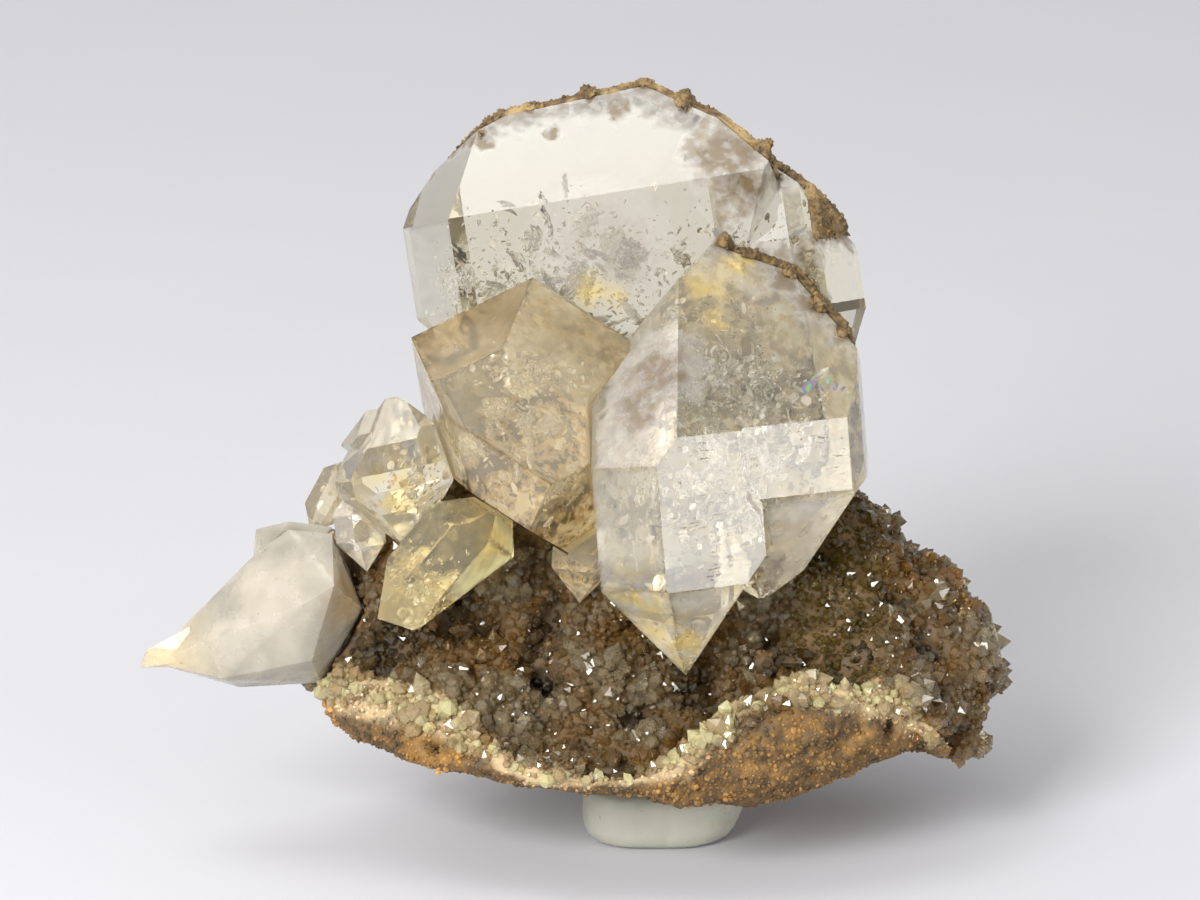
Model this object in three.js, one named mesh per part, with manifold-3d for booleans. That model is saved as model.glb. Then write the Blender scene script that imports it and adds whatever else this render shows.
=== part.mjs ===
// Herkimer diamond quartz: clear crystals pointed at both ends, grown together on a lump of brown
// dolostone that is crusted with tiny quartz points, and stood on a lump of mounting putty.
// Millimetres, +Z up, origin on the resting surface under the middle of the specimen.
import * as THREE from 'three';
import { ConvexGeometry } from 'three/addons/geometries/ConvexGeometry.js';
import { MeshSurfaceSampler } from 'three/addons/math/MeshSurfaceSampler.js';
import { mergeVertices } from 'three/addons/utils/BufferGeometryUtils.js';
import Module from 'manifold-3d';

const wasm = await Module();
wasm.setup();

// Driving dimensions

const GAP = 0.3; // clearance between pieces that touch
const POINT_TILT = 51.79; // degrees from a quartz crystal's long axis to the normal of a point face

// A crystal: its centre, its turn about X, Y and Z in degrees, and its parallel individuals.
// Each individual gives how far its six side faces, its six upper and its six lower point faces lie
// from the centre. Flats and contacts are further faces, each as azimuth, elevation and distance:
// a flat is a growth face off the ring, and a contact is a broken or grown-against one.
const FRONT = {
  centre: [15, -13, 43],
  turn: [-11.5, -4.5, 113.5],
  individuals: [
    {
      sides: [10, 8, 9, 5, 14.8, 18],
      top: [26, 24, 8.1, 5.9, 26, 26],
      bottom: [12, 8, 4.2, 6.5, 13.8, 15],
      flats: [[-19, 8, 12.8]],
      contacts: [[163, 36, 14.8], [51, 60, 22.3], [18, 34, 19.3]],
    },
    {
      sides: [10, 12, 10.1, 5.2, 3.45, 6.5],
      top: [19, 13.4, 8.1, 5.9, 13, 14],
      bottom: [15.5, 17, 15.5, 11.8, 9.9, 12.3],
    },
    {
      sides: [9, 11.5, 9.8, 5.2, 4.85, 7],
      top: [13, 11, 7.8, 5.6, 1, 8],
      bottom: [15.5, 17, 15.5, 11.8, 9.9, 12.3],
    },
  ],
};

const MIDDLE = {
  centre: [-6, -8, 46.5],
  turn: [-2, -17.5, 133.5],
  individuals: [
    {
      sides: [10, 7.2, 10.8, 15.2, 16, 10.6],
      top: [8.8, 16, 10.7, 4.9, 22, 18],
      bottom: [13, 8.6, 15, 12, 14, 14],
    },
  ],
};

const BACK = {
  centre: [6, 15, 58.3],
  turn: [-13, -9, 88],
  individuals: [
    {
      sides: [11, 19.8, 19.8, 9.5, 24, 14],
      top: [17.5, 20.5, 19.3, 11.3, 30, 26],
      bottom: [14, 18, 17.8, 15, 17, 17],
      flats: [[-28, -6, 15.3]],
      contacts: [[139, 48, 17.8], [112, 57, 15.5], [41, 47, 15], [25, 36, 15.2]],
    },
    {
      sides: [9.5, 10, 8, 9, 22.3, 19.9],
      top: [14, 14, 12, 6.3, 32, 30],
      bottom: [13, 10, 10, 14.8, 23.6, 25],
      contacts: [[30, 40, 16], [-27, 36, 19.3]],
    },
  ],
};

const YELLOW = {
  centre: [-11.3, -16, 34.1],
  turn: [-15, 40, 96],
  individuals: [
    {
      sides: [5, 4, 4.4, 4.5, 3.5, 5.5],
      top: [6.5, 5, 4.6, 5.6, 4.8, 6.5],
      bottom: [12, 12, 12, 11, 11, 12],
      contacts: [[180, 10, 6.6], [145, -67, 5.8], [5, -62, 3.9]],
    },
  ],
};

const UPPER_LEFT = {
  centre: [-17.8, -8, 42],
  turn: [-15, -12, 80],
  individuals: [
    {
      sides: [5, 6, 5.5, 4.5, 5.5, 6],
      top: [3, 5, 3.5, 4.3, 5.7, 4.6],
      bottom: [6, 6, 6.5, 6.5, 6.5, 6],
    },
    {
      sides: [5, 6, 6.1, 2, 3, 5],
      top: [3, 6, 4.4, 3.3, 5, 4.2],
      bottom: [3, 3, 1.8, 3, 4, 4],
    },
  ],
};

const DARK_SMALL = {
  centre: [-24.4, -6, 37.6],
  turn: [-26, 27.5, 115],
  individuals: [
    {
      sides: [1.7, 1.6, 1.6, 1.5, 1.7, 1.7],
      top: [2.6, 2.4, 2.4, 2.5, 2.6, 2.7],
      bottom: [2.9, 2.7, 2.6, 2.8, 3, 3],
    },
  ],
};

const LOW_SMALL = {
  centre: [-21.3, -10, 34.9],
  turn: [-10, -6, 115.5],
  individuals: [
    {
      sides: [2.6, 2.3, 2.2, 2, 2.5, 2.6],
      top: [2.8, 2.9, 2.7, 2.6, 2.9, 3],
      bottom: [3, 2.6, 2.5, 2.7, 3.1, 3.2],
    },
  ],
};

const UNDER = {
  centre: [1.6, -10, 31.3],
  turn: [-15, 4, 100],
  individuals: [
    {
      sides: [3, 2.8, 2.6, 2.4, 2.6, 3],
      top: [3.2, 3, 2.8, 2.4, 3, 3.2],
      bottom: [2.8, 2.6, 2.6, 2.5, 2.6, 2.8],
    },
  ],
};

// Calcite: a blunt milky blade that points left, with a broken tip and a stepped shoulder.
const CALCITE_BLADE = [
  [-42.5, -11, 20.8], [-38.8, -11, 25.3], [-32, -11, 32.3], [-28.4, -11, 35], [-24, -11, 34.6],
  [-21, -11, 26.6], [-25.4, -11, 18.6], [-33.7, -11, 18.1], [-40.5, -11, 20.1],
  [-36.8, -15, 24.2], [-35.2, -15.5, 20.5], [-27, -16.5, 28.6], [-23.6, -16, 30.5], [-26, -15.5, 22.4],
  [-36, -6, 22], [-28, -5, 30.5], [-23, -4.5, 30], [-23, -5, 21],
];
const CALCITE_TIP = [
  [-44, -11, 20.2], [-43.3, -11.5, 22.2], [-38.6, -12, 25], [-39, -13, 21.5], [-40, -10, 20],
  [-38.5, -8.5, 23],
];
const CALCITE_SHOULDER = [
  [-32.3, -8, 31], [-32, -8, 34.2], [-29.4, -8, 34.2], [-28.4, -10, 35.6], [-24, -10, 35],
  [-25, -6, 32], [-30, -5.5, 32], [-28, -9, 29], [-32, -9.5, 31],
];
const CALCITE_ROOM = 0.07; // share by which the matrix's pocket is wider than the blade

// Matrix: profiles across the lump, from its left end to its right end, as Y and Z. The front half
// goes up from the sole over the rim and the druse slope; the back half goes on over the ledge and
// the hump and down to the heel.
const LEFT_TIP = [-26.6, -8, 19];
const RIGHT_TIP = [44.8, -3, 17.5];
const PROFILES = [
  {
    x: -25,
    front: [[-7, 15], [-11, 15], [-12, 18], [-11, 21], [-10, 23]],
    back: [[-8, 25], [-5, 26], [-1, 25], [3, 21], [0, 15]],
  },
  {
    x: -21,
    front: [[-7, 12.5], [-15, 13.4], [-16, 16.5], [-14, 20], [-12.5, 24]],
    back: [[-10, 29], [-6, 32], [2, 33], [10, 25], [6, 12]],
  },
  {
    x: -13,
    front: [[-9, 10.4], [-20.5, 12.2], [-22, 14.5], [-18, 18], [-15, 22.5]],
    back: [[-12.5, 27.5], [-8, 34], [4, 37], [17, 26], [11, 9]],
  },
  {
    x: -4,
    front: [[-10, 8.4], [-23.5, 11.4], [-25.5, 13.4], [-20, 15], [-15, 20]],
    back: [[-11, 26], [-6, 32], [11, 45], [25, 28], [16, 7.6]],
  },
  {
    x: 6,
    front: [[-10, 7.4], [-24.5, 10.8], [-26.5, 13.2], [-20, 14.5], [-14, 19]],
    back: [[-10, 26], [-5, 32], [15, 49], [28, 30], [18, 6.4]],
  },
  {
    x: 16,
    front: [[-10, 7.4], [-24.5, 10.4], [-25.5, 17.5], [-19, 18], [-13, 21]],
    back: [[-9, 27], [-3, 33], [15, 49], [28, 30], [18, 6.4]],
  },
  {
    x: 26,
    front: [[-9, 8.5], [-21.5, 11.6], [-22.5, 21], [-16, 21.5], [-11, 24.5]],
    back: [[-6, 29], [0, 33.5], [12, 40], [23, 27], [14, 8]],
  },
  {
    x: 35,
    front: [[-7, 10.5], [-17, 14.2], [-17.5, 19], [-13, 21.5], [-9, 24]],
    back: [[-5, 27], [0, 29.5], [8, 29], [15, 23], [9, 11]],
  },
  {
    x: 41.5,
    front: [[-4, 9], [-11, 10], [-12, 14.5], [-10, 19], [-7.5, 22]],
    back: [[-4, 24.5], [0, 25.5], [4, 24.5], [8, 20], [4, 11]],
  },
];
const MATRIX_AROUND = 32; // facets round each profile
const MATRIX_ALONG = 26; // facets from end to end
const LUMP_HEIGHT = 0.55; // how far the rock's lumps rise and fall
const COARSE_LUMPS = { rate: [0.75, 0.8, 0.7], start: [1.3, 0.4, 2] };
const FINE_LUMPS = { rate: [1.9, 2.1, 1.6], start: [0.5, 1.1, 0.7] };
const FINE_SHARE = 0.6;
const BROKEN_FACE = { from: 10, to: 36, back: -16, flattest: 0.5 }; // bare rock, no druse
const DRUSE_COUNT = 230;
const DRUSE_FLOOR = 10.5; // no druse below this height
const DRUSE_BACK = 8; // nor behind this line
const DRUSE_STEEPEST = -0.15; // nor on rock that faces further down than this
const DRUSE_SIDES = 6;
const DRUSE_LEAN = 0.8; // how far a druse point leans away from square to the rock
const DRUSE_RADIUS = [0.75, 1.25];
const DRUSE_HEIGHT = [1.5, 2.7];
const DRUSE_SINK = 0.8; // how deep a druse point's foot lies in the rock
const PITS = [
  { at: [-14.5, -22.5, 13.2], radius: 1.3 },
  { at: [-3, -18, 17.2], radius: 2.4 },
  { at: [16.5, -20, 17.4], radius: 1.8 },
  { at: [28, -15, 21.5], radius: 2 },
];

// Brown rind on the contact faces
const BACK_RIND = 1.1; // thickness
const FRONT_RIND = 1.2;
const RIND_INSET = 0.25; // how far the rind stays behind the crystal's side faces
const RIND_REACH = 5; // widens the crystal that the rind is hollowed with, past the rind's edges
const BACK_SKYLINE = [
  [-12.3, 12.8, 70.4], [-9.2, 16, 70.6], [-3.8, 18, 73.1], [2.2, 18.4, 74.4], [8.1, 18.6, 75.7],
  [12.2, 16, 74.4], [16.4, 13.4, 72.6], [20.2, 10, 70.6], [23.2, 9.2, 70],
];
const FRONT_EDGE = [
  [16.3, 3.6, 61.7], [19.2, 2.4, 61], [23.1, 1.9, 59.1], [26, -0.6, 56.4], [28.4, -2.6, 54],
];
const RIND_LUMP_RADIUS = [0.9, 1.5];
const RIND_LUMP_SHAPE = [1.6, 1.2, 0.9]; // stretch of a lump along its three axes

// Putty: a squashed lump with a flat sole
const PUTTY = { centre: [9.3, 1], half: [6.1, 10.5], height: 6, round: 1.5, corner: 4, flare: 2.2 };
const PUTTY_SEAT_ROOM = 1; // how far the flat that rests on the putty reaches past it

const SEED = 20; // for the druse points and the rind's lumps
const NEAR = 1e-3; // corners nearer than this are one
const MERGE = 1e-4; // vertices nearer than this are one
const ON_PLANE = 1e-5;
const FLAT_CORNER = 1e-6; // three planes that meet in no point

// Colours and finishes
const QUARTZ = { color: 0xe9e7e6, roughness: 0.05, metalness: 0, transparent: true, opacity: 0.45 };
const SMOKY = { ...QUARTZ, color: 0xcdb894 };
const CITRINE = { ...QUARTZ, color: 0xe6d79a };
const ROCK = { color: 0x7d6a52, roughness: 0.9, metalness: 0 };
const RIND = { color: 0x8a6b3a, roughness: 0.85, metalness: 0 };
const CALCITE = { color: 0xe9e2d4, roughness: 0.35, metalness: 0 };
const PUTTY_WHITE = { color: 0xd8dacd, roughness: 0.7, metalness: 0 };

// Solids: a closed geometry as a solid that can be joined and cut, and back again

function solidOf(geometry) {
  const bare = geometry.clone();
  bare.deleteAttribute('normal');
  bare.deleteAttribute('uv');
  const merged = mergeVertices(bare, MERGE);
  return new wasm.Manifold(new wasm.Mesh({
    numProp: 3,
    vertProperties: new Float32Array(merged.attributes.position.array),
    triVerts: new Uint32Array(merged.index.array),
  }));
}

function geometryOf(solid) {
  const mesh = solid.getMesh();
  const geometry = new THREE.BufferGeometry();
  geometry.setAttribute('position', new THREE.BufferAttribute(mesh.vertProperties, 3));
  geometry.setIndex(new THREE.BufferAttribute(mesh.triVerts, 1));
  geometry.computeVertexNormals();
  return geometry;
}

function join(solids) {
  return solids.reduce((all, next) => all.add(next));
}

function cut(solid, tools) {
  return tools.reduce((rest, tool) => rest.subtract(tool), solid);
}

// Cutting can leave loose crumbs; only the main body is kept.
function mainBody(solid) {
  return solid.decompose().reduce((best, part) => (part.volume() > best.volume() ? part : best));
}

function seeded(seed) {
  let turn = seed;
  return () => {
    turn += 1;
    return THREE.MathUtils.seededRandom(turn);
  };
}

function between(range, share) {
  return range[0] + (range[1] - range[0]) * share;
}

// Quartz crystals, as the space inside all of their face planes

function turnOf(spec) {
  const [x, y, z] = spec.turn.map(THREE.MathUtils.degToRad);
  return new THREE.Euler(x, y, z, 'XYZ');
}

function towards(azimuth, elevation) {
  const polar = THREE.MathUtils.degToRad(90 - elevation);
  const round = THREE.MathUtils.degToRad(azimuth);
  return new THREE.Vector3(
    Math.sin(polar) * Math.cos(round),
    Math.sin(polar) * Math.sin(round),
    Math.cos(polar),
  );
}

function facePlanes(spec, individual, faceShift, contactShift) {
  const centre = new THREE.Vector3(...spec.centre);
  const turn = turnOf(spec);
  const plane = (normal, distance) => new THREE.Plane(normal, -distance - normal.dot(centre));
  const ring = (elevation, distances) => distances.map((distance, i) => (
    plane(towards(60 * i, elevation).applyEuler(turn), distance + faceShift)
  ));
  const flats = (individual.flats ?? []).map(([azimuth, elevation, distance]) => (
    plane(towards(azimuth, elevation), distance + faceShift)
  ));
  const contacts = (individual.contacts ?? []).map(([azimuth, elevation, distance]) => (
    plane(towards(azimuth, elevation), distance + contactShift)
  ));
  return [
    ...ring(0, individual.sides),
    ...ring(90 - POINT_TILT, individual.top),
    ...ring(POINT_TILT - 90, individual.bottom),
    ...flats,
    ...contacts,
  ];
}

function cornerOf(a, b, c) {
  const bc = new THREE.Vector3().crossVectors(b.normal, c.normal);
  const volume = a.normal.dot(bc);
  if (Math.abs(volume) < FLAT_CORNER) {
    return null;
  }
  const ca = new THREE.Vector3().crossVectors(c.normal, a.normal);
  const ab = new THREE.Vector3().crossVectors(a.normal, b.normal);
  return bc.multiplyScalar(-a.constant)
    .addScaledVector(ca, -b.constant)
    .addScaledVector(ab, -c.constant)
    .divideScalar(volume);
}

function insideOf(planes) {
  const corners = [];
  for (let i = 0; i < planes.length; i += 1) {
    for (let j = i + 1; j < planes.length; j += 1) {
      for (let k = j + 1; k < planes.length; k += 1) {
        const corner = cornerOf(planes[i], planes[j], planes[k]);
        const held = corner && planes.every((plane) => plane.distanceToPoint(corner) < ON_PLANE);
        if (held && corners.every((other) => other.distanceTo(corner) > NEAR)) {
          corners.push(corner);
        }
      }
    }
  }
  return solidOf(new ConvexGeometry(corners));
}

function crystal(spec, faceShift = 0, contactShift = faceShift) {
  return join(spec.individuals.map((individual) => (
    insideOf(facePlanes(spec, individual, faceShift, contactShift))
  )));
}

function grown(spec) {
  return crystal(spec, GAP);
}

function hull(points) {
  return solidOf(new ConvexGeometry(points.map((point) => new THREE.Vector3(...point))));
}

function swollen(points, share) {
  const middleOf = (axis) => points.reduce((sum, point) => sum + point[axis], 0) / points.length;
  const centre = [0, 1, 2].map(middleOf);
  return hull(points.map((point) => point.map((value, axis) => value + share * (value - centre[axis]))));
}

// Rind: a thin crust over a crystal's contact faces, lumpy along the edge that shows

function rindLumps(line, random) {
  return line.map((point) => {
    const lump = new THREE.IcosahedronGeometry(between(RIND_LUMP_RADIUS, random()), 0);
    lump.scale(...RIND_LUMP_SHAPE);
    lump.rotateZ(random() * Math.PI);
    lump.rotateY(random() * Math.PI);
    lump.translate(...point);
    return solidOf(lump);
  });
}

function crustOn(spec, individual, thickness) {
  const outside = insideOf(facePlanes(spec, individual, -RIND_INSET, GAP + thickness));
  return outside.subtract(insideOf(facePlanes(spec, individual, RIND_REACH, GAP)));
}

function rind(spec, thickness, line, random) {
  const crusts = spec.individuals
    .filter(({ contacts }) => contacts)
    .map((individual) => crustOn(spec, individual, thickness));
  return join([...crusts, ...rindLumps(line, random)]).subtract(grown(spec));
}

// Matrix

function wave({ rate, start }, point) {
  return point.toArray().reduce((rise, place, i) => rise * Math.sin(rate[i] * place + start[i]), 1);
}

function rockRise(point) {
  return LUMP_HEIGHT * (wave(COARSE_LUMPS, point) + FINE_SHARE * wave(FINE_LUMPS, point));
}

function matrixLump() {
  const rounds = PROFILES.map(({ x, front: up, back: down }) => (
    [...up, ...down].map((place) => new THREE.Vector3(x, ...place))
  ));
  const lines = rounds[0].map((_, i) => new THREE.CatmullRomCurve3([
    new THREE.Vector3(...LEFT_TIP),
    ...rounds.map((round) => round[i]),
    new THREE.Vector3(...RIGHT_TIP),
  ]));
  const geometry = new THREE.SphereGeometry(1, MATRIX_AROUND, MATRIX_ALONG);
  const { position, uv } = geometry.attributes;
  for (let i = 0; i < position.count; i += 1) {
    const along = uv.getY(i);
    const profile = new THREE.CatmullRomCurve3(lines.map((line) => line.getPoint(along)), true);
    const step = Math.round((1 - uv.getX(i)) * MATRIX_AROUND) % MATRIX_AROUND;
    const point = profile.getPoint(step / MATRIX_AROUND);
    position.setXYZ(i, point.x, point.y, point.z);
  }
  geometry.deleteAttribute('normal');
  geometry.deleteAttribute('uv');
  const lump = mergeVertices(geometry, MERGE);
  lump.computeVertexNormals();
  const { position: place, normal } = lump.attributes;
  for (let i = 0; i < place.count; i += 1) {
    const point = new THREE.Vector3().fromBufferAttribute(place, i);
    point.addScaledVector(new THREE.Vector3().fromBufferAttribute(normal, i), rockRise(point));
    place.setXYZ(i, point.x, point.y, point.z);
  }
  lump.computeVertexNormals();
  return lump;
}

function bearsDruse(point, normal) {
  const broken = point.x > BROKEN_FACE.from && point.x < BROKEN_FACE.to
    && point.y < BROKEN_FACE.back && normal.z < BROKEN_FACE.flattest;
  const above = normal.z > DRUSE_STEEPEST && point.z > DRUSE_FLOOR && point.y < DRUSE_BACK;
  return above && !broken;
}

function drusePoint(point, normal, random) {
  const height = between(DRUSE_HEIGHT, random());
  const tip = new THREE.ConeGeometry(between(DRUSE_RADIUS, random()), height, DRUSE_SIDES);
  tip.translate(0, height / 2 - DRUSE_SINK, 0);
  tip.rotateY(random() * Math.PI);
  const lean = new THREE.Vector3(random() - 0.5, random() - 0.5, random() - 0.5);
  const axis = normal.clone().addScaledVector(lean, DRUSE_LEAN).normalize();
  tip.applyQuaternion(new THREE.Quaternion().setFromUnitVectors(new THREE.Vector3(0, 1, 0), axis));
  tip.translate(point.x, point.y, point.z);
  return solidOf(tip);
}

function drusePoints(lump, random) {
  const sampler = new MeshSurfaceSampler(new THREE.Mesh(lump)).setRandomGenerator(random).build();
  const point = new THREE.Vector3();
  const normal = new THREE.Vector3();
  const points = [];
  while (points.length < DRUSE_COUNT) {
    sampler.sample(point, normal);
    if (bearsDruse(point, normal)) {
      points.push(drusePoint(point, normal, random));
    }
  }
  return points;
}

function pit({ at, radius }) {
  const hollow = new THREE.IcosahedronGeometry(radius, 1);
  hollow.translate(...at);
  return solidOf(hollow);
}

function puttySeat() {
  const [width, depth] = PUTTY.half.map((half) => (
    2 * (half + PUTTY.round + PUTTY.flare + PUTTY_SEAT_ROOM)
  ));
  const seat = new THREE.BoxGeometry(width, depth, 2 * (PUTTY.height + GAP));
  seat.translate(PUTTY.centre[0], PUTTY.centre[1], 0);
  return solidOf(seat);
}

function puttyFoot() {
  const [x, y] = PUTTY.half;
  const r = PUTTY.corner;
  const plan = new THREE.Shape();
  plan.moveTo(x - r, -y);
  plan.absarc(x - r, r - y, r, -Math.PI / 2, 0);
  plan.absarc(x - r, y - r, r, 0, Math.PI / 2);
  plan.absarc(r - x, y - r, r, Math.PI / 2, Math.PI);
  plan.absarc(r - x, r - y, r, Math.PI, 1.5 * Math.PI);
  const geometry = new THREE.ExtrudeGeometry(plan, {
    depth: PUTTY.height - 2 * PUTTY.round,
    bevelThickness: PUTTY.round,
    bevelSize: PUTTY.round,
    bevelSegments: 2,
    curveSegments: 3,
  });
  geometry.translate(PUTTY.centre[0], PUTTY.centre[1], PUTTY.round);
  const { position } = geometry.attributes;
  for (let i = 0; i < position.count; i += 1) {
    const share = Math.max(0, position.getX(i) - PUTTY.centre[0]) / x;
    position.setX(i, position.getX(i) + PUTTY.flare * share * (position.getZ(i) / PUTTY.height));
  }
  return geometry;
}

// The specimen: what grew first keeps its form, and what grew against it is cut to fit

const random = seeded(SEED);
const lump = matrixLump();
const front = crystal(FRONT);
const middle = cut(crystal(MIDDLE), [grown(FRONT)]);
const back = cut(crystal(BACK), [grown(FRONT), grown(MIDDLE)]);
const backRind = cut(rind(BACK, BACK_RIND, BACK_SKYLINE, random), [grown(FRONT), grown(MIDDLE)]);
const frontRind = cut(rind(FRONT, FRONT_RIND, FRONT_EDGE, random), [grown(BACK), grown(MIDDLE)]);
const yellow = cut(crystal(YELLOW), [grown(MIDDLE), grown(FRONT)]);
const upperLeft = cut(crystal(UPPER_LEFT), [grown(MIDDLE), grown(BACK), grown(YELLOW)]);
const darkSmall = cut(crystal(DARK_SMALL), [grown(UPPER_LEFT)]);
const lowSmall = cut(crystal(LOW_SMALL), [grown(UPPER_LEFT), grown(DARK_SMALL), grown(YELLOW)]);
const under = cut(crystal(UNDER), [grown(FRONT), grown(MIDDLE), grown(YELLOW)]);
const calcite = cut(
  join([hull(CALCITE_BLADE), hull(CALCITE_TIP), hull(CALCITE_SHOULDER)]),
  [grown(LOW_SMALL), grown(DARK_SMALL), grown(UPPER_LEFT)],
);
const matrix = cut(
  join([solidOf(lump), ...drusePoints(lump, random)]),
  [
    ...[FRONT, MIDDLE, BACK, YELLOW, UPPER_LEFT, DARK_SMALL, LOW_SMALL, UNDER].map(grown),
    swollen(CALCITE_BLADE, CALCITE_ROOM),
    ...PITS.map(pit),
    puttySeat(),
  ],
);

const group = new THREE.Group();

function addPiece(name, solid, finish, spec) {
  const geometry = geometryOf(mainBody(solid));
  const mesh = new THREE.Mesh(geometry, new THREE.MeshStandardMaterial(finish));
  mesh.name = name;
  if (spec) {
    mesh.position.set(...spec.centre);
    mesh.rotation.copy(turnOf(spec));
    mesh.updateMatrix();
    geometry.applyMatrix4(mesh.matrix.clone().invert());
  }
  group.add(mesh);
}

addPiece('matrix', matrix, ROCK);
addPiece('front_crystal', front, QUARTZ, FRONT);
addPiece('middle_crystal', middle, SMOKY, MIDDLE);
addPiece('back_crystal', back, QUARTZ, BACK);
addPiece('back_rind', backRind, RIND);
addPiece('front_rind', frontRind, RIND);
addPiece('yellow_crystal', yellow, CITRINE, YELLOW);
addPiece('upper_left_crystal', upperLeft, QUARTZ, UPPER_LEFT);
addPiece('dark_small_crystal', darkSmall, SMOKY, DARK_SMALL);
addPiece('low_small_crystal', lowSmall, QUARTZ, LOW_SMALL);
addPiece('under_crystal', under, SMOKY, UNDER);
addPiece('calcite_point', calcite, CALCITE);
addPiece('putty_foot', solidOf(puttyFoot()), PUTTY_WHITE);

// The origin goes under the middle of the whole specimen.
const middleOfAll = new THREE.Box3().setFromObject(group).getCenter(new THREE.Vector3());
group.children.forEach((mesh) => {
  mesh.position.x -= middleOfAll.x;
  mesh.position.y -= middleOfAll.y;
});

export default group;
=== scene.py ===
"""Dresses a quartz cluster: clear crystals with growth steps and inner fractures, the druse-lined rock
that carries them, their brown rinds, a milky calcite point and the putty foot."""

import math
import random
from collections import namedtuple

import bmesh
import bpy
import numpy as np
from bpy.props import FloatProperty, FloatVectorProperty, IntProperty, PointerProperty
from mathutils import Matrix, Vector, geometry, noise
from mathutils.bvhtree import BVHTree


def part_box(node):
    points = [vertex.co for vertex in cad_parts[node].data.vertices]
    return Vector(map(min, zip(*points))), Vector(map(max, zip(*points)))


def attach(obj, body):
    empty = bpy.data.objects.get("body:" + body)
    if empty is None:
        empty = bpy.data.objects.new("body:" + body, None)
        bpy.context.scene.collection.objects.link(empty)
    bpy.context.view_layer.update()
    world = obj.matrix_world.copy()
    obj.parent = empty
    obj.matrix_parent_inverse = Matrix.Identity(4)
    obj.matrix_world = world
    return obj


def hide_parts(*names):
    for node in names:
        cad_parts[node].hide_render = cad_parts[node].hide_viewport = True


bl_info = {
    "name": "Quartz Cluster on Druse",
    "version": (1, 0, 0),
    "blender": (4, 5, 0),
    "location": "3D View > Sidebar > Quartz",
    "description": "Builds a cluster of clear quartz crystals on its druse-lined rock",
    "category": "Object",
}

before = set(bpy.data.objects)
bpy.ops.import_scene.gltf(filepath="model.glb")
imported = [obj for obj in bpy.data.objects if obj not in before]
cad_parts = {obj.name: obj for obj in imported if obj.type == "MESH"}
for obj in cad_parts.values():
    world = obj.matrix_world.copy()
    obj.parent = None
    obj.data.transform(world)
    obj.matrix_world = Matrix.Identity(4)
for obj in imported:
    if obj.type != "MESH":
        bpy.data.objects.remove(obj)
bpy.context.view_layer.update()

# Shapes are worked out in millimetres and written to the meshes in metres.
MM = 0.001
BODY = "root"
WELD = 1e-6
FLAT_ANGLE = math.radians(0.5)
SHARP_ANGLE = math.radians(24)

# The photograph's frame: its size in pixels, its scale at the target, and where the camera stands.
PHOTO_WIDTH = 1200
PIXELS_PER_MM = 9.6
TARGET = Vector((2.516, -1.195, 40.5))
CAMERA_DISTANCE = 520.0
CAMERA_ELEVATION = math.radians(15)
SENSOR_WIDTH = 36.0

# A patch of cracks in a crystal: its middle and spread, how many, the smallest and largest radius, and how
# strongly they show rainbow colours.
Cracks = namedtuple("Cracks", "middle spread count small large fire", defaults=(0.0,))

# A crystal: its node, its piece, its quartz, how its long axis is turned (degrees about X, then Y), how
# high its growth steps are (mm), how hazy its skin is, and its cracks.
Crystal = namedtuple("Crystal", "node piece quartz turn steps haze cracks")

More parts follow.
